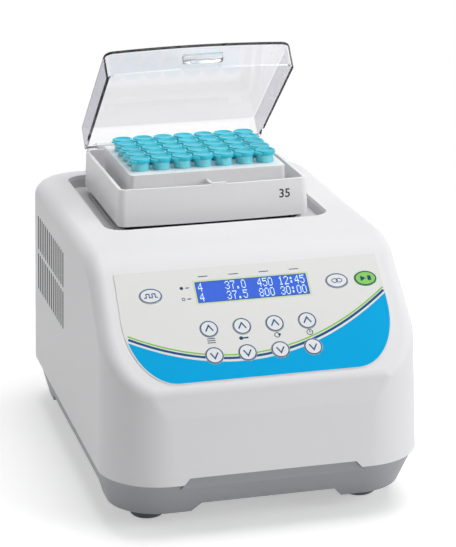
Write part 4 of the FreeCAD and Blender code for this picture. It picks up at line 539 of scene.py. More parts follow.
# Clear lid and grip: their dark edges, where seen edge on, are painted shade.
CLEAR = Finish("clear_shell", (0.95, 0.945, 0.96), rough=0.05, scale=60, depth=0.004 * MM, shift=0.02, spread=0.02,
               clear=1.0, ior=1.26, edge=(0.22, 0.215, 0.29))
GRIP = Finish("clear_grip", (0.93, 0.93, 0.95), rough=0.08, scale=60, depth=0.004 * MM, shift=0.02, spread=0.02,
              clear=0.8, ior=1.45, edge=(0.35, 0.35, 0.40))
FILM = Finish("panel_film", (0.745, 0.745, 0.735), rough=0.36, scale=1100, depth=0.006 * MM, shift=0.025)
SKY = Finish("print_blue", (0.0, 0.42, 0.82), rough=0.34, scale=1100, depth=0.006 * MM, shift=0.05, ior=1.12)
NAVY = Finish("print_navy", (0.004, 0.095, 0.26), rough=0.34, shift=0.1, ior=1.2)
LIME = Finish("print_green", (0.25, 0.62, 0.05), rough=0.34, shift=0.08, ior=1.2)
INK = Finish("print_ink", (0.008, 0.07, 0.13), rough=0.36, shift=0.15, ior=1.2)
KEY = Finish("key_pale", (0.77, 0.775, 0.775), rough=0.32, depth=0.006 * MM)
KEY_GREEN = Finish("key_green", (0.17, 0.55, 0.045), rough=0.32, shift=0.06)
LCD = Finish("display_lit_blue", (0.02, 0.11, 0.70), rough=0.25, scale=300, shift=0.45, glow=0.25, ior=1.25)
DIGIT = Finish("display_digit", (0.62, 0.82, 1.0), rough=0.3, shift=0.05, glow=0.35)
RIM = Finish("display_rim", (0.60, 0.70, 0.44), rough=0.3, shift=0.05)
BOARD = Finish("board_green", (0.02, 0.20, 0.08), rough=0.35, scale=700, shift=0.25, coat=0.3)

NODE_FINISH: dict[str, Finish] = {
    "upper_housing": CASE, "well_pan": WELL_SHADE, "rear_bay": CASE, "base_tray": BASE, "rubber_feet": FOOT,
    "case_screws": STEEL, "chassis_plate": SHEET, "chassis_screws": STEEL, "deck_pillars": ALUMINIUM,
    "bearing_deck": ALUMINIUM, "deck_screws": STEEL, "deck_bearings": STEEL, "shaker_motor": SHEET,
    "eccentric_shaft": STEEL, "counterweight": STEEL, "idler_crank_left_front": STEEL,
    "idler_crank_left_rear": STEEL, "idler_crank_right_front": STEEL, "idler_crank_right_rear": STEEL,
    "orbit_platform": ALUMINIUM, "platform_bearings": STEEL, "heat_sink": ALUMINIUM, "peltier_modules": CERAMIC,
    "block_seat": ALUMINIUM, "insulation_frame": BLACK, "block_tray": TRAY, "tray_screws": STEEL,
    "tube_block": BLOCK, "sample_tubes": TUBE, "tube_caps": CAP, "hinge_pins": STEEL, "lid_cover": CLEAR,
    "lid_latch": CLEAR, "panel_overlay": FILM, "display_window": RIM, "display_module": BLACK,
    "control_board": BOARD, "board_screws": STEEL, "key_switches": BLACK, "key_start": KEY_GREEN,
    "fan_frame": BLACK, "fan_rotor": BLACK, "fan_screws": SCREW, "power_inlet": BLACK, "switch_frame": BLACK,
    "power_rocker": BLACK, "power_supply": SHEET, "driver_board": BOARD,
}


def dress(obj: bpy.types.Object, finish: Finish) -> bpy.types.Object:
    """Give an object one finish.

    Args:
        obj: the object.
        finish: its finish.

    Returns:
        The same object.
    """
    obj.data.materials.clear()
    obj.data.materials.append(finish.material())
    return obj


def dress_nodes() -> None:
    """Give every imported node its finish; the keys that aren't named are pale."""
    for name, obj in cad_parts.items():
        for place in obj.material_slots:
            place.material = NODE_FINISH.get(name, KEY).material()


# Sub-assemblies

PANEL = Matrix.Translation((0, -90 * MM, 161 * MM)) @ Matrix.Rotation(math.radians(43.2), 4, "X")


def in_metres(points: Sequence[Point]) -> list[Point]:
    """Points that are given in millimetres."""
    return [(x * MM, y * MM) for x, y in points]


class Outline:
    """Flat outlines, anticlockwise, in metres."""

    @staticmethod
    def oval(x: float, y: float, across: float, along: float, count: int = 40) -> list[Point]:
        """An ellipse.

        Args:
            x: its centre.
            y: its centre.
            across: half of its width.
            along: half of its height.
            count: its points.

        Returns:
            The outline.
        """
        turns = (2 * math.pi * i / count for i in range(count))
        return [(x + across * math.cos(turn), y + along * math.sin(turn)) for turn in turns]

    @staticmethod
    def rounded(x: float, y: float, width: float, height: float, corner: float, steps: int = 6) -> list[Point]:
        """A rectangle with round corners.

        Args:
            x: its centre.
            y: its centre.
            width: its width.
            height: its height.
            corner: the radius of its corners.
            steps: the sides of each corner.

        Returns:
            The outline.
        """
        points = []
        for quarter, (right, up) in enumerate(((1, 1), (-1, 1), (-1, -1), (1, -1))):
            cx, cy = x + right * (width / 2 - corner), y + up * (height / 2 - corner)
            for i in range(steps + 1):
                turn = math.pi / 2 * (quarter + i / steps)
                points.append((cx + corner * math.cos(turn), cy + corner * math.sin(turn)))
        return points

    @staticmethod
    def stroke(line: Sequence[Point], width: float) -> list[Point]:
        """The outline of a line drawn with a pen of a given width.

        Args:
            line: the line's points.
            width: the width of the pen.

        Returns:
            The outline, along one side of the line and back along the other.
        """
        left, right = [], []
        for i, (x, y) in enumerate(line):
            normals = []
            for a, b in ((i - 1, i), (i, i + 1)):
                if 0 <= a and b < len(line):
                    dx, dy = line[b][0] - line[a][0], line[b][1] - line[a][1]
                    size = math.hypot(dx, dy)
                    normals.append(Vector((-dy / size, dx / size)))
            mitre = sum(normals, Vector((0, 0))).normalized()
            reach = width / 2 / mitre.dot(normals[0])
            left.append((x + mitre.x * reach, y + mitre.y * reach))
            right.append((x - mitre.x * reach, y - mitre.y * reach))
        return right + left[::-1]


@dataclass(frozen=True)
class Ink:
    """Small flat signs of one thickness, before they are set on their surface."""

    thickness: float

    def dot(self, x: float, y: float, radius: float, count: int = 24) -> bpy.types.Object:
        """A filled circle."""
        return Tool.slab("sign", Outline.oval(x, y, radius, radius, count), self.thickness)

    def hoop(self, x: float, y: float, across: float, along: float, pen: float, count: int = 40) -> bpy.types.Object:
        """An oval line, by its half width and half height."""
        return Tool.ring("sign", Outline.oval(x, y, across, along, count),
                         Outline.oval(x, y, across - pen, along - pen, count), self.thickness)

    def bar(self, x: float, y: float, width: float, height: float, corner: float, steps: int = 3) -> bpy.types.Object:
        """A bar with round corners."""
        return Tool.slab("sign", Outline.rounded(x, y, width, height, corner, steps), self.thickness)

    def line(self, points: Sequence[Point], pen: float) -> bpy.types.Object:
        """A line drawn with a pen."""
        return Tool.slab("sign", Outline.stroke(points, pen), self.thickness)


@dataclass
class PanelPrint:
    """What is printed on the sloped panel: a blue field under an arc, two thin lines and small signs."""

    top: float = 0.5 * MM
    ink: Ink = Ink(0.06 * MM)
    half_width: float = 89.3 * MM
    length: float = 83.2 * MM
    corner_across: float = 30 * MM
    corner_along: float = 46 * MM
    arc_level: float = 70.26 * MM
    arc_slope: float = -0.1117
    arc_bend: float = -3.778
    left_end: float = 87.95 * MM
    line_margin: float = 0.6 * MM
    navy_rise: float = 2.6 * MM
    navy_width: float = 1.7 * MM
    green_rise: float = 4.9 * MM
    green_width: float = 1.0 * MM
    key_gap: float = 6.3 * MM
    key_gap_sides: int = 48
    cut_from: float = -1 * MM
    cut_to: float = 2 * MM
    film_smooth: float = 1.0
    keys_x: tuple[float, ...] = (-33.7 * MM, -11.7 * MM, 10.3 * MM, 32.3 * MM)
    rows: tuple[float, float] = (-45.9 * MM, -65.4 * MM)
    signs_above: float = 1.1 * MM
    pen: float = 0.5 * MM
    stripe: tuple[float, float, float] = (5.4 * MM, 0.6 * MM, 0.25 * MM)
    stripe_step: float = 1.5 * MM
    stem: tuple[float, float, float] = (4.4 * MM, 1.1 * MM, 0.5 * MM)
    stem_shift: float = 0.6 * MM
    bulb_shift: float = -2.2 * MM
    bulb: float = 1.35 * MM
    orbit: float = 1.9 * MM
    rider: float = 0.9 * MM
    rider_at: Point = (1.6 * MM, 0.2 * MM)
    clock: float = 2.2 * MM
    hand_across: float = 1.1 * MM
    hand_up: float = 1.4 * MM
    row_marks_y: tuple[float, float] = (-14.3 * MM, -22.6 * MM)
    row_bar_x: float = -42.4 * MM
    row_bar: tuple[float, float, float] = (2.6 * MM, 0.7 * MM, 0.3 * MM)
    row_dot_x: float = -46.2 * MM
    row_dot: float = 1.2 * MM
    column_start: float = -30.5 * MM
    column_step: float = 20.6 * MM
    column_y: float = -6.6 * MM
    column_bar: tuple[float, float, float] = (6.5 * MM, 0.6 * MM, 0.25 * MM)

    def arc(self, x: float, above: float = 0.0) -> Point:
        """A point of the blue field's edge.

        Args:
            x: where it is across the panel.
            above: how far up the slope from the edge.

        Returns:
            The point.
        """
        return (x, -(self.arc_level + self.arc_slope * x + self.arc_bend * x * x) + above)

    def edge(self, above: float, margin: float = 0.0, count: int = 36) -> list[Point]:
        """The field's edge, or a line above it, from left to right.

        Args:
            above: how far up the slope from the edge.
            margin: how far it stays from the panel's sides.
            count: its spans.

        Returns:
            The points.
        """
        left, right = margin - self.left_end, self.half_width - margin
        return [self.arc(left + (right - left) * i / count, above) for i in range(count + 1)]

    def foot(self, steps: int = 16) -> list[Point]:
        """The panel's lower outline, from the right side round its two oval corners to the left side.

        Args:
            steps: the sides of each corner.

        Returns:
            The points.
        """
        points = []
        level = -(self.length - self.corner_along)
        last = math.pi - math.asin((level - self.arc(-self.left_end)[1]) / self.corner_along)
        for side, start, end in ((1, 0.0, math.pi / 2), (-1, math.pi / 2, last)):
            centre = side * (self.half_width - self.corner_across)
            for i in range(steps + 1):
                turn = start + (end - start) * i / steps
                points.append((centre + self.corner_across * math.cos(turn),
                               level - self.corner_along * math.sin(turn)))
        return points

    def cutter(self) -> bpy.types.Object:
        """Round posts that stand where the keys come through."""
        post = Tool.lathe("cutter", [(self.key_gap, self.cut_from), (self.key_gap, self.cut_to)], self.key_gap_sides)
        return Tool.join("cutter", Tool.copies(post, [Vector((x, y, 0)) for x in self.keys_x for y in self.rows]))

    def on_panel(self, obj: bpy.types.Object, finish: Finish, smooth: float = 30.0) -> None:
        """Set a flat print on the panel.

        Args:
            obj: the print, in the panel's own place.
            finish: its ink.
            smooth: largest angle that is shaded smooth, in degrees.
        """
        Tool.done(obj, PANEL @ Matrix.Translation((0, 0, self.top)), smooth)
        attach(dress(obj, finish), "root")

    def film(self, name: str, outline: Sequence[Point], finish: Finish) -> None:
        """Print one area, with holes round the keys.

        Args:
            name: its name.
            outline: its outline.
            finish: its ink.
        """
        obj = Tool.slab(name, outline, self.ink.thickness)
        cutter = self.cutter()
        Tool.apply(obj, "BOOLEAN", operation="DIFFERENCE", object=cutter, solver="EXACT")
        bpy.data.objects.remove(cutter)
        self.on_panel(obj, finish, self.film_smooth)

    def key_signs(self) -> list[bpy.types.Object]:
        """Signs between the two rows of keys: a list, a heat gauge, an orbit and a clock.

        Returns:
            The signs' parts.
        """
        ink, y = self.ink, sum(self.rows) / 2 + self.signs_above
        list_x, heat_x, orbit_x, clock_x = self.keys_x
        return [
            *(ink.bar(list_x, y + k * self.stripe_step, *self.stripe) for k in (-1, 0, 1)),
            ink.bar(heat_x + self.stem_shift, y, *self.stem, steps=4),
            ink.dot(heat_x + self.bulb_shift, y, self.bulb),
            ink.hoop(orbit_x, y, self.orbit, self.orbit, self.pen),
            ink.hoop(clock_x, y, self.clock, self.clock, self.pen),
            ink.dot(orbit_x + self.rider_at[0], y + self.rider_at[1], self.rider, 20),
            ink.line([(clock_x + self.hand_across, y), (clock_x, y), (clock_x, y + self.hand_up)], self.pen),
        ]

    def display_signs(self) -> list[bpy.types.Object]:
        """Marks beside the display's two rows and over its four columns.

        Returns:
            The marks' parts.
        """
        ink, radius = self.ink, self.row_dot
        upper, lower = self.row_marks_y
        return [
            *(ink.bar(self.row_bar_x, y, *self.row_bar) for y in self.row_marks_y),
            ink.dot(self.row_dot_x, upper, radius),
            ink.hoop(self.row_dot_x, lower, radius, radius, self.pen, 24),
            *(ink.bar(self.column_start + i * self.column_step, self.column_y, *self.column_bar) for i in range(4)),
        ]

    def build(self) -> None:
        """Print the whole panel."""
        self.film("print_field", self.edge(0) + self.foot(), SKY)
        for name, rise, width, finish in (("print_line_navy", self.navy_rise, self.navy_width, NAVY),
                                          ("print_line_green", self.green_rise, self.green_width, LIME)):
            self.film(name, Outline.stroke(self.edge(rise, self.line_margin), width), finish)
        self.on_panel(Tool.join("print_signs", self.key_signs() + self.display_signs()), INK)
        LOG.info("panel print: field, lines and signs")


class Sign(Enum):
    """What a key carries."""

    UP = "up"
    DOWN = "down"
    PULSE = "pulse"
    LINK = "link"
    START = "start"


@dataclass
class KeyMarks:
    """The printed ring and sign on each key, which move with it. The signs' points are in millimetres."""

    top: float = 0.85 * MM
    ink: Ink = Ink(0.05 * MM)
    pen: float = 0.68 * MM
    round_key: Point = (5.8 * MM, 5.8 * MM)
    oval_key: Point = (7.35 * MM, 5.35 * MM)
    arrow: tuple[Point, ...] = ((-2.5, -1.8), (0, 2.4), (2.5, -1.8))
    arrow_pen: float = 0.95 * MM
    pulse: tuple[Point, ...] = ((-4.6, -1.3), (-3.0, -1.3), (-3.0, 1.5), (-1.0, 1.5), (-1.0, -1.3), (1.0, -1.3),
                                (1.0, 1.5), (3.0, 1.5), (3.0, -1.3), (4.6, -1.3))
    link: Point = (2.2 * MM, 1.7 * MM)
    link_shift: float = 1.5 * MM
    link_pen: float = 0.55 * MM
    play: tuple[Point, ...] = ((-3.4, -2.1), (0.2, 0), (-3.4, 2.1))
    stop_shift: float = 2.6 * MM
    stop: tuple[float, float, float] = (2.4 * MM, 3.6 * MM, 0.2 * MM)
    oval_keys: tuple[tuple[Sign, float], ...] = ((Sign.PULSE, -67.4 * MM), (Sign.LINK, 58.6 * MM),
                                                 (Sign.START, 78.4 * MM))
    oval_y: float = -18.2 * MM

    @staticmethod
    def moved(points: Sequence[Point], x: float, y: float, way: int = 1) -> list[Point]:
        """A sign's points in millimetres, about a key's middle, upside down where way is -1."""
        return [(x + a, y + b * way) for a, b in in_metres(points)]

    def sign(self, kind: Sign, x: float, y: float) -> list[bpy.types.Object]:
        """The sign in the middle of a key.

        Args:
            kind: which sign.
            x: the key's middle.
            y: the key's middle.

        Returns:
            The sign's parts.
        """
        ink = self.ink
        if kind in (Sign.UP, Sign.DOWN):
            return [ink.line(self.moved(self.arrow, x, y, 1 if kind is Sign.UP else -1), self.arrow_pen)]
        if kind is Sign.PULSE:
            return [ink.line(self.moved(self.pulse, x, y), self.pen)]
        if kind is Sign.LINK:
            return [ink.hoop(x + side * self.link_shift, y, *self.link, self.link_pen, 28) for side in (-1, 1)]
        return [Tool.slab("sign", self.moved(self.play, x, y), ink.thickness),
                ink.bar(x + self.stop_shift, y, *self.stop, steps=2)]

    def mark(self, key: str, kind: Sign, x: float, y: float) -> None:
        """Print one key.

        Args:
            key: the key's name, which is also its body.
            kind: which sign.
            x: its middle on the panel.
            y: its middle on the panel.
        """
        size = self.round_key if kind in (Sign.UP, Sign.DOWN) else self.oval_key
        obj = Tool.join("mark_" + key, [self.ink.hoop(x, y, *size, self.pen, 56)] + self.sign(kind, x, y))
        Tool.done(obj, PANEL @ Matrix.Translation((0, 0, self.top)))
        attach(dress(obj, INK if kind is Sign.START else NAVY), key)

    def build(self) -> None:
        """Print all keys."""
        plan = PanelPrint()
        for i, x in enumerate(plan.keys_x):
            for kind, y in zip((Sign.UP, Sign.DOWN), plan.rows):
                self.mark("key_%s_%d" % (kind.value, i + 1), kind, x, y)
        for kind, x in self.oval_keys:
            self.mark("key_" + kind.value, kind, x, self.oval_y)
        LOG.info("key marks: %d", 2 * len(plan.keys_x) + len(self.oval_keys))


@dataclass
class Display:
    """The lit display behind its lens, with two rows of dotted figures."""

    x: float = 0.9 * MM
    y: float = -18.4 * MM
    width: float = 75.6 * MM
    height: float = 15.7 * MM
    corner: float = 0.5 * MM
    top: float = 0.5 * MM
    film: float = 0.06 * MM
    edge: float = 0.4 * MM
    edge_corner: float = 0.3 * MM
    dot_across: float = 0.52 * MM
    dot_along: float = 0.78 * MM
    dot_corner: float = 0.1 * MM
    dot_step: float = 0.6 * MM
    dot_rise: float = 0.92 * MM
    cell: float = 3.64 * MM
    row_step: float = 7.5 * MM
    rows: tuple[str, str] = ("4    37.0  450 12:45", "4    37.5  800 30:00")

    @staticmethod
    def figure(sign: str) -> tuple[str, ...]:
        """The dots of one figure, from its top row down.

        Args:
            sign: a digit, a point or a colon.

        Returns:
            Seven rows of five places, with # where a dot is lit.
        """
        figures = {
            "0": (".###.", "#...#", "#...#", "#...#", "#...#", "#...#", ".###."),
            "1": ("..#..", ".##..", "..#..", "..#..", "..#..", "..#..", ".###."),
            "2": (".###.", "#...#", "....#", "...#.", "..#..", ".#...", "#####"),
            "3": (".###.", "#...#", "....#", "..##.", "....#", "#...#", ".###."),
            "4": ("...#.", "..##.", ".#.#.", "#..#.", "#####", "...#.", "...#."),
            "5": ("#####", "#....", "####.", "....#", "....#", "#...#", ".###."),
            "7": ("#####", "....#", "...#.", "..#..", "..#..", "..#..", "..#.."),
            "8": (".###.", "#...#", "#...#", ".###.", "#...#", "#...#", ".###."),
            ".": (".....", ".....", ".....", ".....", ".....", ".##..", ".##.."),
            ":": (".....", ".##..", ".##..", ".....", ".##..", ".##..", "....."),
        }
        return figures.get(sign, ())

    def places(self) -> list[Vector]:
        """Where the lit dots are, seen from the middle of the display.

        Returns:
            The place of each dot.
        """
        spots = []
        for row, words in enumerate(self.rows):
            for column, sign in enumerate(words):
                dots = self.figure(sign)
                top = self.row_step * (0.5 - row) + self.dot_rise * (len(dots) - 1) / 2
                for i, line in enumerate(dots):
                    left = (column - (len(words) - 1) / 2) * self.cell - self.dot_step * (len(line) - 1) / 2
                    spots.extend(Vector((left + j * self.dot_step, top - i * self.dot_rise, 0))
                                 for j, place in enumerate(line) if place == "#")
        return spots

    def build(self) -> None:
        """Make the lit field, its edge and its dots."""
        whole = Outline.rounded(0, 0, self.width, self.height, self.corner)
        inner = Outline.rounded(0, 0, self.width - 2 * self.edge, self.height - 2 * self.edge, self.edge_corner)
        dot = Outline.rounded(0, 0, self.dot_across, self.dot_along, self.dot_corner, 1)
        thin = self.film / 2
        field = Tool.slab("display_field", whole, self.film)
        edge = Tool.ring("display_edge", whole, inner, thin)
        dots = Tool.join("display_figures", Tool.copies(Tool.slab("dot", dot, thin), self.places()))
        for obj, finish, lift in ((field, LCD, 0), (edge, NAVY, self.film), (dots, DIGIT, self.film)):
            Tool.done(obj, PANEL @ Matrix.Translation((self.x, self.y, self.top + lift)))
            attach(dress(obj, finish), "root")
        LOG.info("display: field, edge and figures")


@dataclass(frozen=True)
class Lug:
    """A flat lug on the side of a cap, in millimetres and degrees."""

    reach: float
    length: float
    width: float
    corner: float
    steps: int
    thickness: float
    level: float
    turn: float

    def build(self) -> bpy.types.Object:
        """The lug, in its place on the cap."""
        outline = Outline.rounded(self.reach, 0, self.length, self.width, self.corner, self.steps)
        return Tool.done(Tool.slab("lug", in_metres(outline), self.thickness * MM),
                         Matrix.Translation((0, 0, self.level * MM))
                         @ Matrix.Rotation(math.radians(self.turn), 4, "Z"))


@dataclass
class Tubes:
    """Thirty-five closed sample tubes: a dished cap with a thumb tab and a hinge, and a tapering body.

    The two profiles are in millimetres.
    """

    middle: float = 54.6 * MM
    step: float = 15 * MM
    columns: int = 7
    rows: int = 5
    cap_sides: int = 36
    cap_profile: tuple[Point, ...] = (
        (5.0, 206.1), (6.5, 206.3), (7.0, 206.7), (7.2, 207.2), (7.2, 208.9), (6.95, 209.4), (6.5, 209.6),
        (5.9, 209.5), (5.5, 208.9), (5.1, 208.7), (1.2, 208.6))
    body_profile: tuple[Point, ...] = (
        (1.2, 165.6), (1.8, 166.2), (5.25, 183.0), (5.3, 201.02), (6.1, 201.05), (6.2, 201.3), (6.2, 202.2),
        (5.95, 202.5), (5.95, 206.4), (5.3, 206.5))
    tab: Lug = Lug(7.4, 4.0, 5.8, 1.2, 4, 1.3, 207.5, 218)
    hinge: Lug = Lug(7.2, 2.4, 4.4, 0.6, 3, 3.2, 205.2, 38)

    def places(self) -> list[Vector]:
        """The middle of each tube."""
        return [Vector(((i - (self.columns - 1) / 2) * self.step,
                        self.middle + (j - (self.rows - 1) / 2) * self.step, 0))
                for i in range(self.columns) for j in range(self.rows)]

    def build(self) -> None:
        """Make one cap and one body, and copy them to every place."""
        disc = Tool.lathe("cap", in_metres(self.cap_profile), self.cap_sides)
        cap = Tool.join("cap", [disc, self.tab.build(), self.hinge.build()])
        body = Tool.lathe("tube", in_metres(self.body_profile))
        for name, master, finish, node in (("tube_caps_ribbed", cap, CAP, "tube_caps"),
                                           ("tubes_clear", body, TUBE, "sample_tubes")):
            obj = Tool.join(name, Tool.copies(master, self.places()))
            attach(dress(obj, finish), "platform")
            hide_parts(node)
        LOG.info("tubes: %d", self.columns * self.rows)


@dataclass
class Lid:
    """The clear lid: a shell with a bowed front and hinge ears, and its grip strip."""

    width: float = 134 * MM
    length: float = 123.2 * MM
    middle: float = 60.9991 * MM
    bottom: float = 195.7 * MM
    height: float = 18.8 * MM
    wall: float = 2.2 * MM
    corner: float = 6 * MM
    corner_steps: int = 6
    top_round: float = 3 * MM
    round_steps: int = 6
    bow: float = 4 * MM
    bow_spans: int = 14
    level: float = 0.9
    hinge_y: float = 118.5991 * MM
    hinge_z: float = 197 * MM
    opened: float = 38.0
    smooth: float = 32.0
    grip_smooth: float = 35.0
    ear: float = 4.8 * MM
    ear_width: float = 8 * MM
    ear_reach: float = 2.9 * MM
    bore: float = 2.56 * MM
    bore_length: float = 43.2 * MM
    rod_sides: int = 32
    barrels: tuple[float, ...] = (-52.5 * MM, 52.5 * MM)
    barrel_half: float = 5.4 * MM
    barrel_room: float = 2.8 * MM

    def outline(self) -> list[Point]:
        """The closed lid seen from above, about its middle.

        Returns:
            The outline, with a bowed front.
        """
        points = Outline.rounded(0, 0, self.width, self.length, self.corner, self.corner_steps)
        front = 3 * (self.corner_steps + 1)
        start, end = points[front - 1], points[front]
        step = (end[0] - start[0]) / self.bow_spans
        points[front:front] = [(start[0] + step * i, start[1]) for i in range(1, self.bow_spans)]
        half = self.width / 2
        return [(x, y - self.bow * (1 - (x / half) ** 2) if y < 0 else y) for x, y in points]

    @staticmethod
    def change(body: bpy.types.Object, how: str) -> None:
        """Add the active piece to the lid, or cut it away.

        Args:
            body: the lid.
            how: UNION or DIFFERENCE.
        """
        part = bpy.context.object
        Tool.apply(body, "BOOLEAN", operation=how, object=part, solver="EXACT")
        bpy.data.objects.remove(part)

    def rod(self, body: bpy.types.Object, how: str, x: float, across: float, length: float) -> None:
        """Add or cut a rod along the hinge's axis.

        Args:
            body: the closed lid, in place.
            how: UNION or DIFFERENCE.
            x: the rod's middle.
            across: its diameter.
            length: its length.
        """
        Tool.clear()
        bpy.ops.mesh.primitive_cylinder_add(
            radius=across / 2, depth=length, vertices=self.rod_sides, location=(x, self.hinge_y, self.hinge_z),
            rotation=(0, math.pi / 2, 0))
        self.change(body, how)

    def brick(self, body: bpy.types.Object, how: str, offset: Sequence[float], size: Sequence[float]) -> None:
        """Add or cut a square block near the hinge's axis.

        Args:
            body: the closed lid, in place.
            how: UNION or DIFFERENCE.
            offset: the block's middle, seen from the middle of the axis.
            size: its three sides.
        """
        Tool.clear()
        x, y, z = offset
        bpy.ops.mesh.primitive_cube_add(size=1, location=(x, self.hinge_y + y, self.hinge_z + z), scale=size)
        self.change(body, how)

    def ears(self, body: bpy.types.Object) -> None:
        """Add the four hinge ears, and cut the bores and the room for the tray's barrels.

        Args:
            body: the closed lid, in place.
        """
        for middle in self.barrels:
            for way in (-1, 1):
                x = middle + way * (self.barrel_half + self.ear_width / 2)
                self.rod(body, "UNION", x, self.ear, self.ear_width)
                self.brick(body, "UNION", (x, self.ear_reach / 2, self.ear / 4),
                           (self.ear_width, self.ear_reach, self.ear / 2))
            self.rod(body, "DIFFERENCE", middle, self.bore, self.bore_length)
            self.brick(body, "DIFFERENCE", (middle, self.barrel_room, 0),
                       (2 * self.barrel_half, 4 * self.barrel_room, 2 * self.barrel_room))

    def shell(self) -> bpy.types.Object:
        """The lid in one wall thickness, open below.

        Returns:
            The lid, at its rest place.
        """
        body = Tool.slab("lid_shell", self.outline(), self.height)
        Tool.select(body, lambda centre, normal: normal.z > self.level)
        bpy.ops.mesh.region_to_loop()
        bpy.ops.mesh.bevel(offset=self.top_round, segments=self.round_steps, affect="EDGES")
        Tool.select(body, lambda centre, normal: normal.z < -self.level)
        bpy.ops.mesh.delete(type="FACE")
        bpy.ops.object.mode_set(mode="OBJECT")
        Tool.apply(body, "SOLIDIFY", thickness=self.wall, offset=-1, use_even_offset=True)
        Tool.done(body, Matrix.Translation((0, self.middle, self.bottom)))
        self.ears(body)
        pivot = Matrix.Translation((0, self.hinge_y, self.hinge_z))
        swing = pivot @ Matrix.Rotation(math.radians(-self.opened), 4, "X") @ pivot.inverted()
        Tool.done(body, swing, self.smooth)
        even = body.modifiers.new("even", "WEIGHTED_NORMAL")
        even.weight = 100
        even.keep_sharp = True
        return body

    def build(self) -> None:
        """Make the shell and a smooth copy of the grip strip."""
        shell = self.shell()
        grip = Tool.done(Tool.skin_of("lid_latch", "lid_grip"), smooth=self.grip_smooth)
        for node, obj, finish in (("lid_cover", shell, CLEAR), ("lid_latch", grip, GRIP)):
            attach(dress(obj, finish), "lid")
            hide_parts(node)
        LOG.info("lid: shell and grip")


@dataclass
class TrayMark:
    """The plain number on the front of the tray."""

    text: str = "35"
    size: float = 8.6 * MM
    weight: float = 0.12 * MM
    x: float = 50 * MM
    z: float = 182.6 * MM
    front: float = -16 * MM
    reach: float = 50 * MM
    ink: float = 0.05 * MM

    def build(self) -> None:
        """Write the number and press it onto the tray's front."""
        Tool.clear()
        bpy.ops.object.text_add(location=(0, 0, 0))
        text = bpy.context.object.data
        text.body = self.text
        text.size = self.size
        text.align_x = "CENTER"
        text.offset = self.weight
        bpy.ops.object.convert(target="MESH")
        obj = bpy.context.object
        obj.name = "tray_number"
        place = Matrix.Translation((self.x, self.front, self.z)) @ Matrix.Rotation(math.pi / 2, 4, "X")
        Tool.done(obj, place)
        Tool.apply(obj, "SHRINKWRAP", wrap_method="PROJECT", use_project_y=True, target=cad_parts["block_tray"],
                   offset=self.ink, project_limit=self.reach)
        Tool.done(obj)
        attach(dress(obj, BLACK), "platform")
        LOG.info("tray number: %s", self.text)


@dataclass
class RearFittings:
    """Steel pins of the inlet and the plain on and off marks of the rocker."""

    inlet_x: float = 30 * MM
    level: float = 76 * MM
    pin_spacing: float = 7 * MM
    pin_raise: float = 2 * MM
    pin_root: float = 136.35 * MM
    pin_tip: float = 150.05 * MM
    pin_across: float = 2.06 * MM
    pin_high: float = 4.06 * MM
    pin_round: float = 0.4 * MM
    rocker_x: float = 55 * MM
    pivot_y: float = 151.1991 * MM
    face_out: float = 3.85 * MM
    face_middle: float = 3.5 * MM
    tilt: float = math.radians(10)
    ink: Ink = Ink(0.08 * MM)
    stroke: tuple[float, float, float] = (0.7 * MM, 3.4 * MM, 0.3 * MM)
    ring: float = 1.75 * MM
    ring_pen: float = 0.65 * MM

    def pins(self) -> bpy.types.Object:
        """The inlet's three pins.

        Returns:
            The pins, as one piece.
        """
        blades = []
        for i in (-1, 0, 1):
            Tool.clear()
            bpy.ops.mesh.primitive_cube_add(
                size=1, location=(self.inlet_x + i * self.pin_spacing, (self.pin_root + self.pin_tip) / 2,
                                  self.level + (self.pin_raise if i == 0 else -self.pin_raise)),
                scale=(self.pin_across, self.pin_tip - self.pin_root, self.pin_high))
            blades.append(Tool.apply(Tool.done(bpy.context.object), "BEVEL", width=self.pin_round, segments=3))
        return Tool.done(Tool.join("inlet_pins", blades))

    def marks(self) -> bpy.types.Object:
        """A stroke on the rocker's on side and a ring on its off side.

        Returns:
            The marks, as one piece.
        """
        signs = [self.ink.bar(0, 0, *self.stroke), self.ink.hoop(0, 0, self.ring, self.ring, self.ring_pen)]
        turned = Matrix.Translation((self.rocker_x, self.pivot_y, self.level)) @ Matrix.Rotation(self.tilt, 4, "X")
        to_rear = Matrix.Rotation(math.pi, 4, "Z") @ Matrix.Rotation(math.pi / 2, 4, "X")
        for sign, way in zip(signs, (-1, 1)):
            face = Matrix.Translation((0, self.face_out, way * self.face_middle))
            Tool.done(sign, turned @ face @ Matrix.Rotation(-way * self.tilt, 4, "X") @ to_rear
                      @ Matrix.Translation((0, 0, -self.ink.thickness / 4)))
        return Tool.join("rocker_marks", signs)

    def build(self) -> None:
        """Make the pins and the marks."""
        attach(dress(self.pins(), STEEL), "root")
        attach(dress(self.marks(), WHITE_INK), "rocker")
        LOG.info("rear: pins and marks")


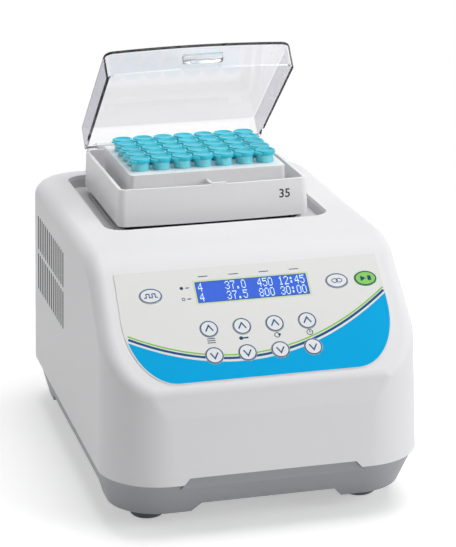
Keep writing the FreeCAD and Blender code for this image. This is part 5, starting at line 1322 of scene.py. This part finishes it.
@dataclass
class VentShade:
    """Dark sheets behind the side vents, with dark ribs pressed into the slots: painted shade for the shade inside
    the case and in the slots.
    """

    thickness: float = 0.8 * MM
    gap: float = 0.15 * MM
    wall: float = 3 * MM
    sunk: float = 0.08 * MM
    low: float = 92 * MM
    high: float = 153.6 * MM
    front: float = 3 * MM
    rear: float = 111 * MM
    corner: float = 4 * MM
    slot_rear: float = 106 * MM
    slot_step: float = 7.6 * MM
    slot_count: int = 14
    slot_width: float = 3.5 * MM
    slot_corner: float = 1.15 * MM
    rows: tuple[Point, ...] = ((95.2 * MM, 122.4 * MM), (125.4 * MM, 150.6 * MM))
    foot_level: float = 38 * MM
    foot_half: float = 105 * MM
    taper: float = 4 / 134

    def inside(self, z: float) -> float:
        """The distance from the middle to the wall's inner face at a height."""
        return self.foot_half - (z - self.foot_level) * self.taper

    def sheet(self, name: str, side: int) -> bpy.types.Object:
        """One dark sheet of painted shade with its ribs, flat about its middle.

        Args:
            name: its name.
            side: -1 for the left, 1 for the right.

        Returns:
            The dark sheet.
        """
        middle, centre = (self.low + self.high) / 2, (self.front + self.rear) / 2
        parts = [Tool.slab(name, Outline.rounded(0, 0, self.rear - self.front, self.high - self.low, self.corner),
                           self.thickness)]
        for low, high in self.rows:
            rib = Tool.slab("rib", Outline.rounded(0, 0, self.slot_width, high - low, self.slot_corner, 4),
                            self.thickness + self.gap + self.wall - self.sunk)
            parts += Tool.copies(rib, [
                Vector((side * (self.slot_rear - i * self.slot_step - centre), (low + high) / 2 - middle, 0))
                for i in range(self.slot_count)])
        return Tool.join(name, parts)

    def build(self) -> None:
        """Stand one dark sheet of painted shade behind each side's vents."""
        middle, height = (self.low + self.high) / 2, self.high - self.low
        lean = math.atan2(self.inside(self.low) - self.inside(self.high), height)
        across = self.inside(middle) - self.gap - self.thickness
        for side, name in ((-1, "vent_shade_left"), (1, "vent_shade_right")):
            place = Matrix.Translation((side * across, (self.front + self.rear) / 2, middle))
            turn = Matrix.Rotation(side * math.pi / 2, 4, "Z") @ Matrix.Rotation(math.pi / 2 - lean, 4, "X")
            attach(dress(Tool.done(self.sheet(name, side), place @ turn), VENT_SHADE), "root")
        LOG.info("vent shade sheets: 2")


# Studio

WHITE = (1, 1, 1, 1)


@dataclass(frozen=True)
class Lamp:
    """A square soft lamp that faces the object."""

    name: str
    place: Place
    size: float
    power: float
    aim: Place = (0, 0, 0.1)

    def build(self) -> None:
        """Hang the lamp."""
        data = bpy.data.lights.new(self.name, "AREA")
        data.size = self.size
        data.energy = self.power
        obj = bpy.data.objects.new(self.name, data)
        obj.location = self.place
        obj.rotation_euler = (Vector(self.aim) - Vector(self.place)).to_track_quat("-Z", "Y").to_euler()
        bpy.context.collection.objects.link(obj)


@dataclass
class Studio:
    """Camera, lamps, floor and background."""

    position: Place = (-0.35617, -1.43327, 0.57392)
    yaw: float = 14.37
    pitch: float = 16.78
    roll: float = -0.49
    sensor: float = 36
    focal_pixels: float = 2200
    frame_pixels: float = 547
    clip: Point = (0.05, 50)
    ambient: float = 0.16
    floor_size: float = 12
    floor_drop: float = 0.2 * MM
    floor_shade: Colour = (0.86, 0.86, 0.86)
    floor_rough: float = 0.9
    lift: float = 0.42
    shadow_reach: float = 0.3
    white_reach: float = 0.8
    lamps: tuple[Lamp, ...] = (
        Lamp("top_lamp", (0.3, 0.0, 1.9), 1.5, 24.3), Lamp("right_lamp", (1.7, -1.5, 0.9), 1.2, 22.4),
        Lamp("left_lamp", (-2.0, 0.7, 0.9), 1.2, 7.4))

    def camera(self) -> None:
        """Place the camera at the photograph's angle."""
        yaw, pitch, roll = (math.radians(v) for v in (self.yaw, self.pitch, self.roll))
        ahead = Vector((math.sin(yaw) * math.cos(pitch), math.cos(yaw) * math.cos(pitch), -math.sin(pitch)))
        side = ahead.cross(Vector((0, 0, 1))).normalized()
        top = side.cross(ahead)
        right = side * math.cos(roll) + top * math.sin(roll)
        up = top * math.cos(roll) - side * math.sin(roll)
        data = bpy.data.cameras.new("camera")
        data.lens = self.focal_pixels * self.sensor / self.frame_pixels
        data.sensor_width = self.sensor
        data.clip_start, data.clip_end = self.clip
        obj = bpy.data.objects.new("camera", data)
        bpy.context.collection.objects.link(obj)
        turn = Matrix((right, up, -ahead)).transposed().to_4x4()
        obj.matrix_world = Matrix.Translation(Vector(self.position)) @ turn
        bpy.context.scene.camera = obj

    @staticmethod
    def seen(wiring: Wiring) -> bpy.types.NodeSocket:
        """One for what the camera sees, straight or by way of glass and gloss.

        Args:
            wiring: the nodes of the floor or the world.

        Returns:
            The value, one or zero.
        """
        path = wiring.node("LightPath", {}).outputs
        direct = wiring.math("MAXIMUM", path["Is Camera Ray"], path["Is Transmission Ray"])
        return wiring.math("MAXIMUM", direct, path["Is Glossy Ray"])

    def backdrop(self) -> None:
        """Even light from all round, and white where the camera, glass or metal sees it."""
        world = bpy.data.worlds.new("studio")
        bpy.context.scene.world = world
        world.use_nodes = True
        world.node_tree.nodes.clear()
        wiring = Wiring(world.node_tree)
        soft = wiring.node("Background", {"Color": WHITE, "Strength": self.ambient}).outputs["Background"]
        white = wiring.node("Background", {"Color": WHITE, "Strength": 1.0}).outputs["Background"]
        pick = wiring.node("MixShader", {0: self.seen(wiring), 1: soft, 2: white}).outputs["Shader"]
        wiring.node("OutputWorld", {"Surface": pick})

    def floor(self) -> None:
        """A pale floor that keeps the object's shadow and fades to white further out."""
        Tool.clear()
        bpy.ops.mesh.primitive_plane_add(size=self.floor_size, location=(0, 0, -self.floor_drop))
        obj = bpy.context.object
        obj.name = "floor"
        material = bpy.data.materials.new("floor_white")
        material.use_nodes = True
        wiring = Wiring(material.node_tree)
        seen = self.seen(wiring)
        near = wiring.feed(wiring.nodes["Principled BSDF"], {
            "Base Color": (*self.floor_shade, 1), "Roughness": self.floor_rough, "Emission Color": WHITE,
            "Emission Strength": wiring.math("MULTIPLY", seen, self.lift)}).outputs["BSDF"]
        spot = wiring.node("TexCoord", {}).outputs["Object"]
        away = wiring.node("VectorMath", {0: spot}, operation="LENGTH").outputs["Value"]
        fade = wiring.node("MapRange", {"From Min": self.shadow_reach, "From Max": self.white_reach,
                                        "Value": away}).outputs["Result"]
        far = wiring.node("Emission", {"Strength": 1.0}).outputs["Emission"]
        blend = wiring.node("MixShader", {0: wiring.math("MULTIPLY", seen, fade), 1: near, 2: far})
        wiring.feed(wiring.nodes["Material Output"], {"Surface": blend.outputs["Shader"]})
        obj.data.materials.append(material)

    def build(self) -> None:
        """Set the whole studio up."""
        bpy.context.scene.view_settings.view_transform = "Standard"
        self.camera()
        self.backdrop()
        self.floor()
        for lamp in self.lamps:
            lamp.build()


def main() -> None:
    """Build the studio and every sub-assembly."""
    logging.basicConfig(level=logging.INFO, format="%(name)s: %(message)s")
    Studio().build()
    dress_nodes()
    for part in (PanelPrint(), KeyMarks(), Display(), Tubes(), Lid(), TrayMark(), VentShade(), RearFittings()):
        part.build()


if __name__ == "__main__":
    main()
